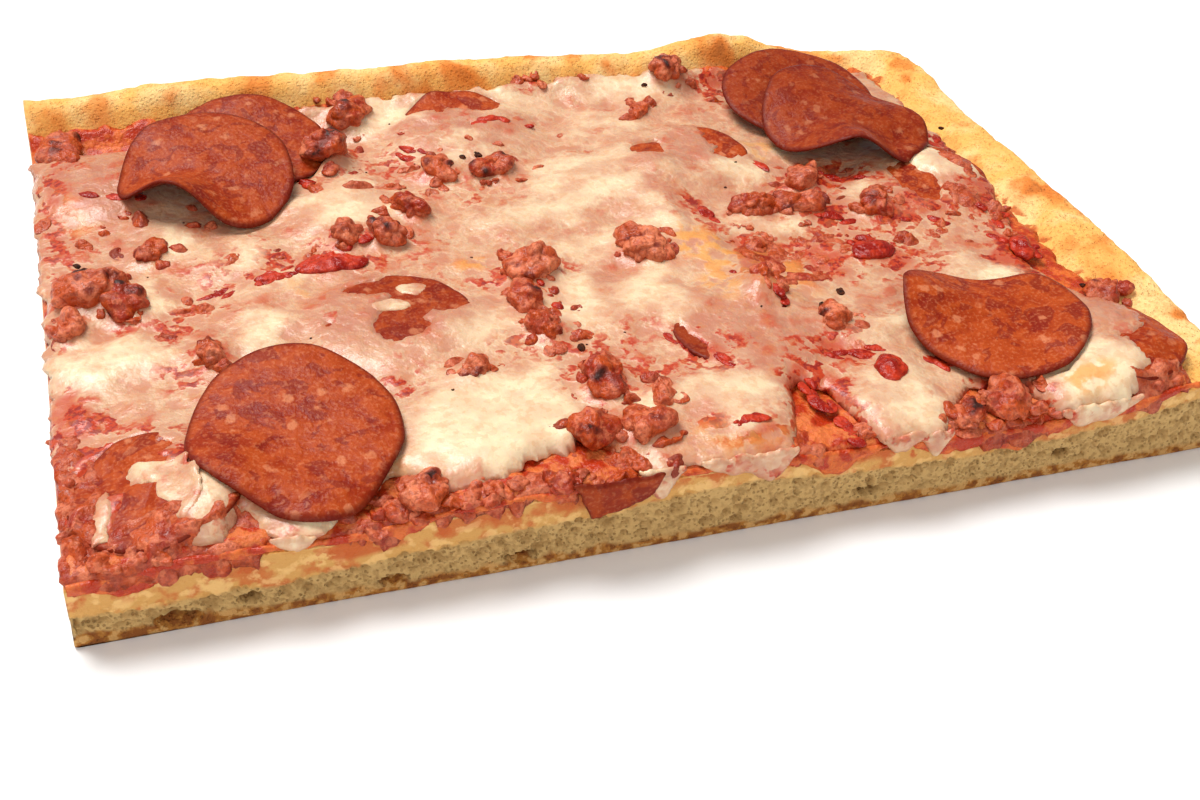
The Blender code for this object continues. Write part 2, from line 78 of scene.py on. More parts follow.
HALF_WIDTH = 114.0
HALF_DEPTH = 79.5
FRAME_SHIFT = 1.65
# Just inside the left and the front cut: small lumps stay past these lines
INSIDE_LEFT = -111.0
INSIDE_FRONT = -78.0
# A height far above everything
SKY = 100.0

Array = np.ndarray
Socket = bpy.types.NodeSocket
Material = bpy.types.Material
Colour = tuple[float, float, float]
Faces = list[tuple[int, ...]]


class Slot(Enum):
    """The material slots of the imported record."""

    CRUST = "crust"
    SAUCE = "sauce"
    CHEESE = "cheese"
    PEPPERONI = "pepperoni"
    SAUSAGE = "sausage"
    TOMATO = "tomato"


class Patch(NamedTuple):
    """A soft oval spot: its middle, its half lengths along x and y, and its weight."""

    x: float
    y: float
    half_x: float
    half_y: float
    weight: float = 1.0


def patches(*rows: tuple[float, ...]) -> tuple[Patch, ...]:
    """Turn rows of numbers into spots."""
    return tuple(Patch(*row) for row in rows)


# Thick pale cheese
CREAM = patches(
    (-38, -60, 17, 14, 1.3), (-27, -50, 7, 6, 0.8), (-102, -24, 12, 6.5, 0.8), (-92, -70, 5, 10, 0.7),
    (-72, -22, 7, 7, 0.6), (-50, 23, 11, 12, 0.75), (-29, 61, 13, 7, 0.65), (3, 19, 12, 16, 0.6),
    (-9, 8, 12, 8, 0.55), (-3, -4, 10, 6, 0.55), (-9, -25, 9, 11, 0.65), (5, -27, 8, 12, 0.65),
    (28, 65, 15, 11, 0.7), (8, -64, 11, 9, 0.7), (45, -48, 8, 6, 0.55), (41, -70, 9, 13, 0.7),
    (77, -75, 12, 8), (90, 9, 9, 6, 0.8), (77, -33, 7, 6, 0.75), (41, 20, 11, 8, 0.6), (-87, 16, 8, 8, 0.6),
    (38, -6, 7, 5, 0.6), (-12, -63, 6, 5, 0.7), (58, -48, 6, 7, 0.5), (15, 47, 10, 8, 0.6),
    (-95, -5, 6, 7, 0.6), (-70, -78, 8, 4, 0.9), (60, 28, 6, 9, 0.6), (-30, -30, 10, 9, 0.45),
    (-64, -4, 9, 5, 0.4), (-20, 40, 14, 9, 0.4), (-5, 62, 12, 8, 0.5), (20, 28, 8, 9, 0.45),
    (64, 2, 7, 6, 0.45), (-75, 8, 8, 6, 0.45), (14, 2, 5, 18, 0.5),
)
# Orange-red grease and sauce in the thin cheese
STAINED = patches(
    (-110, -40, 6, 12), (-55, -46, 6, 3, 0.6), (-88, 68, 12, 6), (-52, 48, 5, 12, 0.9),
    (-60, 4, 22, 7, 0.7), (9, -47, 6, 8, 0.8), (25, -68, 6, 15, 1.1), (35, -53, 6, 4, 0.9),
    (58, -20, 6, 9, 1.0), (87, -27, 5, 11), (94, -10, 5, 16, 1.0), (34, -17, 9, 10, 0.9),
    (46, -20, 7, 9, 0.8), (62, -74, 7, 8), (28, 2, 3, 9, 0.8), (5, -73, 8, 3, 0.9), (-30, 75, 20, 5, 0.8),
    (52, 66, 5, 12, 0.9), (-108, 25, 4, 40, 0.7), (-90, -12, 9, 8, 0.5), (-12, -50, 10, 14, 0.4),
    (-88, -32, 5, 7, 0.6), (70, -8, 6, 9, 0.8), (-103, -66, 13, 17, 1.3), (-38, 36, 20, 14, 0.35),
    (97, 20, 4, 12, 0.7), (4, 72, 16, 6, 0.6), (-64, -78, 12, 5, 0.8), (60, 12, 12, 8, 0.7),
    (74, -4, 8, 8, 0.8), (50, -6, 10, 7, 0.7), (66, -26, 8, 6, 0.6), (-18, -12, 7, 9, 0.7),
    (-22, -36, 9, 7, 0.5), (-72, 40, 12, 7, 0.4), (88, 34, 7, 6, 0.6),
)
# Pinkish cheese over slices and sausage
MAUVE = patches(
    (-100, 44, 10, 16), (-46, -18, 12, 11, 0.7), (22, -47, 13, 9, 0.8), (56, 6, 11, 10, 0.8),
    (33, 26, 9, 9, 0.8), (98, -70, 6, 8), (-102, 22, 9, 9, 0.7), (17, 8, 5, 18, 0.6), (-16, 54, 12, 8, 0.6),
    (5, -12, 7, 7, 0.6), (92, -55, 5, 8, 0.7), (-60, 62, 8, 8, 0.5),
)
# Golden and oily places
GOLDEN = patches(
    (-27, -6, 4, 4, 0.9), (21, -16, 6, 18, 1.0), (50, 28, 6, 4, 0.9), (76, -76, 5, 4, 1.0),
    (32, -24, 8, 10, 0.8), (6, -75, 12, 4, 0.6), (-63, -8, 5, 5, 0.5), (-106, 32, 4, 9, 0.5),
    (96, -44, 4, 6, 0.8), (27, 67, 5, 5, 0.6), (-58, -66, 4, 5, 0.5),
)
# Crumbly meat and sauce that shows past the cheese, mostly along the front cut
MINCE = patches(
    (-104, -77, 12, 7), (-94, -79, 12, 4), (-111, -60, 4, 14, 0.9), (-61, -75, 9, 5), (-52, -72, 4, 5),
    (-40, -77, 15, 4), (-26, -73, 6, 5), (-16, -72, 8, 6), (16, -77, 4, 4), (50, -77, 5, 4),
    (59, -75, 8, 6), (92, -77, 7, 3), (-86, -76, 5, 5), (36, -20, 8, 9, 0.9), (48, -14, 7, 6, 0.8),
    (88, -9, 6, 7, 0.8),
)
# Slices that the cheese covers, the parts of them that stay bare, and cheese on the others
COVERED = ("01", "02", "03", "04", "05", "06", "07", "08")
BARE = patches(
    (-38, -13, 7.5, 8.5), (-47, -12.5, 6, 3.2), (-45, -20, 5, 4, 0.9), (-47, -27, 5, 4, 0.8),
    (80, 3, 4.5, 7), (95, 18, 4, 7, 0.9), (-15, 63.5, 14, 5.5), (-104, -56, 8, 7), (-98, -66, 5, 6, 0.8),
    (98, -71, 7, 7, 0.8), (43, 34, 4.5, 9), (23, 30, 4, 4), (5.5, -47, 2.4, 7, 0.8),
)
SMEARS = patches(
    (-66, 57, 5.0, 2.6), (-59, 61, 3.2, 4.5), (-94.5, -67, 3.6, 8), (-98, -61, 4, 3), (-44, -15, 3.6, 2.2),
    (-49, -20, 4, 2.4), (-107, -68, 1.8, 6, 0.9),
)

# Larger burnt specks
FLECK_SPOTS = (
    (-15, -41), (37, -39), (-17, 33), (12, -6), (100, 30), (-20, 36), (33, 62), (95, -44), (-106, 1),
    (44, -33),
)
# Lines of tomato shreds: both ends, how many, and how far they stray
SHRED_LINES = (
    ((48, -2), (60, -8), 5, 2.0), ((58, 14), (70, 8), 5, 2.0), ((-20, -8), (-16, -26), 5, 2.0),
    ((-34, 44), (-24, 34), 4, 2.5), ((-82, -6), (-62, 0), 12, 1.8), ((-62, 0), (-42, 9), 14, 1.4),
    ((24, -24), (30, -38), 6, 0.9), ((26, 5), (28, -4), 4, 1.0), ((4, -42), (11, -56), 5, 1.2),
    ((24, -58), (28, -86), 9, 2.0), ((31, -53), (41, -56), 5, 1.4), ((56, -14), (62, -21), 6, 2.2),
    ((88, -18), (93, -31), 6, 2.0), ((51, -58), (57, -62), 5, 1.5), ((93, 14), (97, 28), 5, 1.6),
    ((44, 26), (52, 14), 4, 2.2), ((-104, 36), (-88, 34), 4, 2.0), ((4, -73), (8, -72), 2, 0.8),
    ((-60, 40), (-54, 30), 4, 1.5), ((86, -6), (92, -14), 5, 1.8), ((-14, 52), (2, 50), 4, 2.0),
    ((68, -8), (78, -14), 4, 2.0),
)

# Edges of the cheese: the front and the back as x, y, and the right as y, x
CHEESE_FRONT = (
    (-114, -50), (-109, -61), (-106, -73), (-102, -66), (-97, -72), (-93, -77), (-88, -78), (-84, -71),
    (-79, -80.2), (-73, -80.2), (-66, -76), (-57, -68), (-51, -75), (-41, -75.5), (-34, -71), (-25, -70),
    (-23, -64), (-19, -71), (-12, -80.6), (-5, -79.6), (6, -80), (14, -78.6), (18, -70), (22, -59),
    (27, -62), (31, -80.4), (44, -80.6), (50, -73), (56, -68), (65, -70), (69, -80.4), (84, -80.4),
    (93, -75), (103, -71),
)
CHEESE_RIGHT = (
    (-80, 103), (-60, 100), (-48, 95), (-38, 91), (-28, 88), (-18, 93), (0, 98), (20, 98), (45, 97),
    (68, 95),
)
CHEESE_BACK = (
    (-114, 58), (-100, 60), (-84, 64), (-60, 67), (-20, 68), (20, 68.4), (50, 67.5), (80, 66), (98, 65),
)
# Height of the line between the open crumb and the denser band above it, along the front
CRUMB_LINE = (
    (-114, 6.6), (-100, 6.2), (-84, 6.4), (-70, 7.2), (-60, 7.9), (-44, 9.2), (-36, 9.8), (-26, 9.0),
    (-4, 11.2), (10, 11.6), (26, 9.6), (36, 9.0), (60, 9.0), (88, 11.0), (104, 14.0), (114, 15.2),
)
# Larger holes in the crumb at the front: x, z, length, height
CRUMB_HOLES = (
    (-96.8, 2.6, 8.4, 2.9), (-84.6, 4.4, 4.0, 2.2), (-60.1, 2.8, 5.6, 1.9), (-37.1, 2.9, 6.0, 2.0),
    (31.0, 4.0, 4.4, 1.9), (72.0, 5.6, 4.0, 2.2),
)
# Drips of sauce over the front cut: x, half width, length
SAUCE_DRIPS = (
    (-104, 9, 3.5), (-86, 5, 1.6), (-60, 7, 2.4), (-32, 6, 1.2), (3, 7, 1.4), (22, 5, 5.0), (45, 6, 2.4),
    (60, 12, 3.6), (86, 10, 2.0),
)
# Drips of cheese over the front cut: x, half width, length
CHEESE_DRIPS = (
    (-77, 5, 4.8), (-12, 3.5, 8.5), (2, 7, 5.4), (10, 4, 6.8), (35, 4, 5.6), (43, 3, 7.0), (73, 4, 5.0),
    (81, 6, 5.6),
)


def linear(red: int, green: int, blue: int) -> Colour:
    """Turn a display colour into what the shaders take.

    Args:
        red, green, blue: the display colour's channels, from 0 to 255.

    Returns:
        The linear channels, from 0 to 1.
    """
    def one(value: int) -> float:
        """Turn one channel."""
        share = value / 255
        return share / 12.92 if share <= 0.04045 else ((share + 0.055) / 1.055) ** 2.4
    return (one(red), one(green), one(blue))


def ease(values: Array) -> Array:
    """Return the smooth step of values held between 0 and 1."""
    held = np.clip(values, 0.0, 1.0)
    return held * held * (3 - 2 * held)


def line(at: Array, points: Sequence[tuple[float, float]]) -> Array:
    """Read a line given by points, straight between them."""
    table = np.array(points, float)
    return np.interp(at, table[:, 0], table[:, 1])


def blur(values: Array, passes: int) -> Array:
    """Soften a grid of values.

    Args:
        values: the grid.
        passes: how often each value is averaged with its neighbours.

    Returns:
        The softened grid, of the same shape.
    """
    for _ in range(passes):
        for axis in (0, 1):
            padded = np.concatenate([values.take([0], axis), values, values.take([-1], axis)], axis)
            count = values.shape[axis]
            before = padded.take(range(count), axis)
            after = padded.take(range(2, count + 2), axis)
            values = 0.25 * before + 0.5 * values + 0.25 * after
    return values


def fill(values: Array, passes: int) -> Array:
    """Spread the known values of a grid into the places that have none.

    Args:
        values: the grid, with nan where nothing is known.
        passes: how many cells the values spread.

    Returns:
        The grid, with what is still unknown at the lowest known value.
    """
    grid = values.copy()
    for _ in range(passes):
        missing = np.isnan(grid)
        if not missing.any():
            break
        padded = np.pad(grid, 1, constant_values=np.nan)
        near = np.stack([padded[:-2, 1:-1], padded[2:, 1:-1], padded[1:-1, :-2], padded[1:-1, 2:]])
        known = ~np.isnan(near)
        total = np.where(known, near, 0).sum(0)
        count = known.sum(0)
        spread = missing & (count > 0)
        grid[spread] = total[spread] / count[spread]
    grid[np.isnan(grid)] = np.nanmin(grid)
    return grid


def show(name: str, data: bpy.types.ID) -> bpy.types.Object:
    """Put a mesh, light or camera into the scene as an object."""
    thing = bpy.data.objects.new(name, data)
    bpy.context.scene.collection.objects.link(thing)
    return thing


def level_set(values: Array, step: float) -> Array:
    """Turn a field into roughly the distance from its zero line, in millimetres."""
    down, across = np.gradient(values, step)
    return values / np.maximum(np.hypot(down, across), 0.05)


class Noise:
    """Seeded smooth noise and cell noise for arrays of points."""

    def __init__(self, seed: int) -> None:
        """Draw the tables of one seed.

        Args:
            seed: what the tables are drawn from.
        """
        draw = np.random.default_rng(seed)
        self.table = np.tile(draw.permutation(256), 3)
        slopes = draw.normal(size=(256, 3))
        self.slopes = slopes / np.linalg.norm(slopes, axis=1, keepdims=True)
        self.places = draw.random((256, 3))

    def hash(self, i: Array, j: Array, k: Array) -> Array:
        """Return one of 256 numbers for each cell of space."""
        return self.table[self.table[self.table[i & 255] + (j & 255)] + (k & 255)]

    def waves(self, x: Array, y: Array, z: Array | float, size: float) -> Array:
        """Read the smooth noise.

        Args:
            x, y, z: the points.
            size: how far apart the swells are.

        Returns:
            Values from about -1 to 1.
        """
        x, y, z = np.broadcast_arrays(np.asarray(x) / size, np.asarray(y) / size, np.asarray(z, float) / size)
        corner = [np.floor(value).astype(int) for value in (x, y, z)]
        inside = [value - low for value, low in zip((x, y, z), corner)]
        fade = [value ** 3 * (value * (value * 6 - 15) + 10) for value in inside]
        total = np.zeros(x.shape)
        for step in range(8):
            side = (step & 1, step >> 1 & 1, step >> 2 & 1)
            slope = self.slopes[self.hash(*(low + one for low, one in zip(corner, side)))]
            weight = 1.0
            dot = 0.0
            for axis in range(3):
                weight = weight * (fade[axis] if side[axis] else 1 - fade[axis])
                dot = dot + slope[..., axis] * (inside[axis] - side[axis])
            total += weight * dot
        return total * 1.7

    def rough(self, x: Array, y: Array, z: Array | float, size: float,
              octaves: int = 3) -> Array:
        """Return noise with finer noise on it.

        Args:
            x, y, z: the points.
            size: the swells of the coarsest noise.
            octaves: how many noises, each half as coarse and strong as the one before.

        Returns:
            Values from about -1.5 to 1.5.
        """
        total = 0.0
        for octave in range(octaves):
            share = 0.5 ** octave
            swell = size * share
            total = total + share * self.waves(x, y, np.asarray(z) + octave * 31.7 * size * share, swell)
        return total

    def cells(self, x: Array, y: Array, z: Array | float,
              size: float) -> tuple[Array, Array, Array]:
        """Measure the distances to the two nearest of scattered points.

        Args:
            x, y, z: the points.
            size: how far apart the scattered points are.

        Returns:
            The distance to the nearest and to the second, in sizes, and a random value of the nearest.
        """
        x, y, z = np.broadcast_arrays(np.asarray(x) / size, np.asarray(y) / size, np.asarray(z, float) / size)
        low = [np.floor(value).astype(int) for value in (x, y, z)]
        first = np.full(x.shape, 9.0)
        second = np.full(x.shape, 9.0)
        name = np.zeros(x.shape)
        for step in range(27):
            shifts = (step % 3 - 1, step // 3 % 3 - 1, step // 9 - 1)
            i, j, k = (base + shift for base, shift in zip(low, shifts))
            number = self.hash(i, j, k)
            spot = self.places[number]
            off_x, off_y, off_z = i + spot[..., 0] - x, j + spot[..., 1] - y, k + spot[..., 2] - z
            away = np.sqrt(off_x ** 2 + off_y ** 2 + off_z ** 2)
            nearer = away < first
            second = np.where(nearer, first, np.minimum(second, away))
            name = np.where(nearer, number / 255, name)
            first = np.where(nearer, away, first)
        return first, second, name


NOISE = Noise(11)


def spread(x: Array, y: Array, patches: Iterable[Patch], warp: float = 3.0) -> Array:
    """Lay soft spots over points, with ragged outlines.

    Args:
        x, y: the points.
        patches: the spots.
        warp: how far the outlines are pushed about.

    Returns:
        For each point the strongest weight there, from 0 up, which falls to 0 at the spots' outlines.
    """
    pushed_x = x + warp * NOISE.rough(x, y, 3.3, 11, 3)
    pushed_y = y + warp * NOISE.rough(x, y, 57.1, 11, 3)
    most = np.zeros(np.shape(x))
    for patch in patches:
        away = np.hypot((pushed_x - patch.x) / patch.half_x, (pushed_y - patch.y) / patch.half_y)
        most = np.maximum(most, patch.weight * np.clip(1.5 - away, 0, 1))
    return most


class Relief:
    """The upper and lower surface of CAD nodes, felt by vertical rays."""

    def __init__(self, nodes: Sequence[bpy.types.Object]) -> None:
        """Join the nodes' meshes for the rays.

        Args:
            nodes: the CAD nodes to feel.
        """
        points: list[Vector] = []
        faces: Faces = []
        for node in nodes:
            start = len(points)
            points += [Vector((vertex.co.x / MM, vertex.co.y / MM - FRAME_SHIFT, vertex.co.z / MM))
                       for vertex in node.data.vertices]
            faces += [tuple(start + index for index in face.vertices) for face in node.data.polygons]
        self.points = np.array(points)
        self.tree = BVHTree.FromPolygons(points, faces)

    def feel(self, x: Array, y: Array, from_below: bool = False) -> Array:
        """Feel the nodes with vertical rays.

        Args:
            x, y: where the rays go.
            from_below: whether they come up from below.

        Returns:
            The heights, with nan where a ray misses.
        """
        start, way = (-SKY, Vector((0, 0, 1))) if from_below else (SKY, Vector((0, 0, -1)))
        flat_x, flat_y = np.ravel(x), np.ravel(y)
        heights = np.full(flat_x.shape, np.nan)
        for index, (one_x, one_y) in enumerate(zip(flat_x.tolist(), flat_y.tolist())):
            hit = self.tree.ray_cast(Vector((one_x, one_y, start)), way)[0]
            if hit is not None:
                heights[index] = hit.z
        return heights.reshape(np.shape(x))

    def reach(self, centre: Vector, ways: Array, missing: float) -> Array:
        """Feel how far the surface is from a centre.

        Args:
            centre: where the rays start.
            ways: their directions.
            missing: the distance to give where one misses.

        Returns:
            The distances.
        """
        out = np.full(len(ways), missing)
        for index, way in enumerate(ways):
            distance = self.tree.ray_cast(centre, Vector(way))[3]
            if distance is not None:
                out[index] = distance
        return out


class Grid:
    """An even grid of places over a rectangle."""

    def __init__(self, low_u: float, high_u: float, low_v: float, high_v: float, step: float) -> None:
        """Lay out the places.

        Args:
            low_u, high_u, low_v, high_v: the rectangle.
            step: how far apart the places are.
        """
        self.step = step
        self.us = np.arange(low_u, high_u + step / 2, step)
        self.vs = np.arange(low_v, high_v + step / 2, step)
        self.u, self.v = np.meshgrid(self.us, self.vs)

    def read(self, values: Array, u: Array, v: Array) -> Array:
        """Read a grid of values between its places.

        Args:
            values: the values at the places.
            u, v: where to read them.

        Returns:
            The values there, straight between the places.
        """
        across = np.clip((np.asarray(u) - self.us[0]) / self.step, 0, len(self.us) - 1.001)
        up = np.clip((np.asarray(v) - self.vs[0]) / self.step, 0, len(self.vs) - 1.001)
        i, j = up.astype(int), across.astype(int)
        s, t = up - i, across - j
        return ((values[i, j] * (1 - t) + values[i, j + 1] * t) * (1 - s)
                + (values[i + 1, j] * (1 - t) + values[i + 1, j + 1] * t) * s)


class Layer:
    """A closed layer over the part of a grid where a field is above zero, with a rounded lip."""

    def __init__(self, grid: Grid, inside: Array) -> None:
        """Trace the edge of the field.

        Args:
            grid: the places.
            inside: the field, as a distance from the edge where the lip matters.
        """
        self.grid = grid
        self.field = inside
        self.blend: list[tuple[int, int, float]] = []
        self.trace()

    def trace(self) -> None:
        """Find the kept places, the crossings of the edge, and the faces of one side."""
        rows, columns = self.field.shape
        kept = self.field > 0
        self.kept = np.flatnonzero(kept.ravel())
        number = np.full(rows * columns, -1)
        number[self.kept] = np.arange(len(self.kept))
        flat = self.field.ravel()
        whole = kept[:-1, :-1] & kept[:-1, 1:] & kept[1:, 1:] & kept[1:, :-1]
        some = kept[:-1, :-1] | kept[:-1, 1:] | kept[1:, 1:] | kept[1:, :-1]
        i, j = np.nonzero(whole)
        corner = i * columns + j
        quads = np.stack([corner, corner + 1, corner + columns + 1, corner + columns], 1)
        self.faces: Faces = [tuple(face) for face in number[quads].tolist()]
        crossings: dict[tuple[int, int], int] = {}
        for i, j in zip(*np.nonzero(some & ~whole)):
            corner = int(i) * columns + int(j)
            ring = (corner, corner + 1, corner + columns + 1, corner + columns)
            face = []
            for here, after in zip(ring, ring[1:] + ring[:1]):
                if number[here] >= 0:
                    face.append(int(number[here]))
                if (number[here] >= 0) != (number[after] >= 0):
                    pair = (min(here, after), max(here, after))
                    if pair not in crossings:
                        share = flat[pair[0]] / (flat[pair[0]] - flat[pair[1]])
                        crossings[pair] = len(self.kept) + len(self.blend)
                        self.blend.append((*pair, float(np.clip(share, 0.12, 0.88))))
                    face.append(crossings[pair])
            if len(face) > 2:
                self.faces.append(tuple(face))

    def read(self, values: Array) -> Array:
        """Read a grid of values where the layer is.

        Args:
            values: the values over the grid.

        Returns:
            Those at the kept places and then those at the crossings.
        """
        flat = np.ravel(values)
        if not self.blend:
            return flat[self.kept]
        pairs = np.array(self.blend)
        first, second, share = pairs[:, 0].astype(int), pairs[:, 1].astype(int), pairs[:, 2]
        return np.concatenate([flat[self.kept], flat[first] * (1 - share) + flat[second] * share])

    def solid(self, low: Array, high: Array, lip: float,
              lip_share: float) -> tuple[Array, Faces, Array]:
        """Close the layer between two surfaces.

        Args:
            low, high: the surfaces over the grid.
            lip: how far in from the edge the layer is at its full thickness.
            lip_share: where the edge lies between the surfaces, from 0, low, to 1, high.

        Returns:
            The points as u, v, w, the faces, and the index of each point's place for read().
        """
        count, inner = len(self.kept) + len(self.blend), len(self.kept)
        full = np.sqrt(1 - (1 - np.clip(self.read(self.field) / lip, 0, 1)) ** 2)
        bottom, top = self.read(low), self.read(high)
        edge = bottom + (top - bottom) * lip_share
        upper = edge + (top - edge) * full
        lower = edge + (bottom - edge) * full
        u, v = self.read(self.grid.u), self.read(self.grid.v)
        places = np.concatenate([np.arange(count), np.arange(inner)])
        points = np.stack([u[places], v[places], np.concatenate([upper, lower[:inner]])], 1)
        under = [tuple(index + count if index < inner else index for index in reversed(face))
                 for face in self.faces]
        return points, self.faces + under, places


class Pattern(Enum):
    """The patterns that the finishes are mixed from."""

    SWELLS = "ShaderNodeTexNoise"
    CELLS = "ShaderNodeTexVoronoi"


class Blend(Enum):
    """What a value node does with its two values."""

    PLUS = "ADD"
    TIMES = "MULTIPLY"


class Paint:
    """A node tree being built for one material."""

    def __init__(self, name: str, colour: object = None) -> None:
        """Start a material with one Principled shader.

        Args:
            name: its name.
            colour: its colour, where nothing is mixed.
        """
        self.colour = colour
        self.material = bpy.data.materials.new(name)
        self.material.use_nodes = True
        self.tree = self.material.node_tree
        self.shader = self.tree.nodes["Principled BSDF"]
        self.coordinates = self.tree.nodes.new("ShaderNodeTexCoord").outputs["Object"]

    def set(self, **values: float | Colour) -> None:
        """Set constants on the shader's own sockets, named with underscores for spaces."""
        for name, value in values.items():
            socket = self.shader.inputs[name.replace("_", " ")]
            with_alpha = isinstance(value, tuple) and len(socket.default_value) == 4
            socket.default_value = (*value, 1.0) if with_alpha else value

    def plug(self, value: object, socket: Socket) -> None:
        """Link an output to a socket, or set a constant or colour on it."""
        if isinstance(value, Socket):
            self.tree.links.new(value, socket)
        elif isinstance(value, tuple):
            socket.default_value = (*value, 1.0)
        else:
            socket.default_value = value

    def mask(self, name: str) -> Socket:
        """Return a value that the mesh carries at its points."""
        node = self.tree.nodes.new("ShaderNodeAttribute")
        node.attribute_name = name
        return node.outputs["Fac"]

    def pattern(self, kind: Pattern, size: float) -> bpy.types.Node:
        """Add a pattern node of one kind.

        Args:
            kind: which pattern.
            size: how far apart its swells or cells are, in millimetres.

        Returns:
            The node.
        """
        scale = self.tree.nodes.new("ShaderNodeMapping")
        scale.inputs["Scale"].default_value = [1 / (size * MM)] * 3
        self.tree.links.new(self.coordinates, scale.inputs["Vector"])
        node = self.tree.nodes.new(kind.value)
        node.inputs["Scale"].default_value = 1.0
        self.tree.links.new(scale.outputs["Vector"], node.inputs["Vector"])
        return node

    def grain(self, size: float, detail: float = 3.0, contrast: float = 1.0,
              distortion: float = 0.0) -> Socket:
        """Add noise.

        Args:
            size: the swells, in millimetres.
            detail: how much finer noise lies on it.
            contrast: how far its values are pulled apart about the middle.
            distortion: how far the swells are bent.

        Returns:
            Values from 0 to 1.
        """
        node = self.pattern(Pattern.SWELLS, size)
        node.inputs["Detail"].default_value = detail
        node.inputs["Distortion"].default_value = distortion
        return self.spread(node.outputs["Fac"], 0.5 - 0.25 / contrast, 0.5 + 0.25 / contrast)

    def cells(self, size: float, output: str = "Distance") -> Socket:
        """Return cell noise of a size in millimetres: Distance from the cells' middles, or their Color."""
        return self.pattern(Pattern.CELLS, size).outputs[output]

    def spread(self, value: object, low: float, high: float, new_low: float = 0.0,
               new_high: float = 1.0) -> Socket:
        """Map values smoothly from one range to another.

        Args:
            value: what to map.
            low, high: the range that it comes from.
            new_low, new_high: the range that it goes to.

        Returns:
            The mapped values, held in the new range.
        """
        node = self.tree.nodes.new("ShaderNodeMapRange")
        node.interpolation_type = "SMOOTHSTEP"
        for name, one in zip(("Value", "From Min", "From Max", "To Min", "To Max"),
                             (value, low, high, new_low, new_high)):
            self.plug(one, node.inputs[name])
        return node.outputs["Result"]

    def join(self, kind: Blend, first: object, second: object) -> Socket:
        """Join two values."""
        node = self.tree.nodes.new("ShaderNodeMath")
        node.operation = kind.value
        self.plug(first, node.inputs[0])
        self.plug(second, node.inputs[1])
        return node.outputs[0]

    def times(self, first: object, second: object) -> Socket:
        """Multiply two values."""
        return self.join(Blend.TIMES, first, second)

    def plus(self, first: object, second: object) -> Socket:
        """Add two values."""
        return self.join(Blend.PLUS, first, second)

    def mix(self, first: object, second: object, share: object) -> Socket:
        """Return a blend of two colours, from the first to the second by share."""
        node = self.tree.nodes.new("ShaderNodeMix")
        node.data_type = "RGBA"
        self.plug(share, node.inputs["Factor"])
        self.plug(first, node.inputs[6])
        self.plug(second, node.inputs[7])
        return node.outputs[2]

    def over(self, colour: object, share: object) -> None:
        """Lay a colour over the material's colour so far."""
        self.colour = self.mix(self.colour, colour, share)

    def bump(self, height: object, depth: float, strength: float = 1.0,
             under: Socket | None = None) -> Socket:
        """Make a relief.

        Args:
            height: the relief, from 0 to 1.
            depth: its full height, in millimetres.
            strength: how much of it shows.
            under: the normal of a coarser relief that it lies on.

        Returns:
            The normal.
        """
        node = self.tree.nodes.new("ShaderNodeBump")
        node.inputs["Distance"].default_value = depth * MM
        node.inputs["Strength"].default_value = strength
        self.plug(height, node.inputs["Height"])
        if under is not None:
            self.tree.links.new(under, node.inputs["Normal"])
        return node.outputs["Normal"]

    def finish(self, roughness: object, normal: Socket | None = None) -> Material:
        """Link what varies to the shader and return the material."""
        self.plug(self.colour, self.shader.inputs["Base Color"])
        self.plug(roughness, self.shader.inputs["Roughness"])
        if normal is not None:
            self.tree.links.new(normal, self.shader.inputs["Normal"])
        return self.material


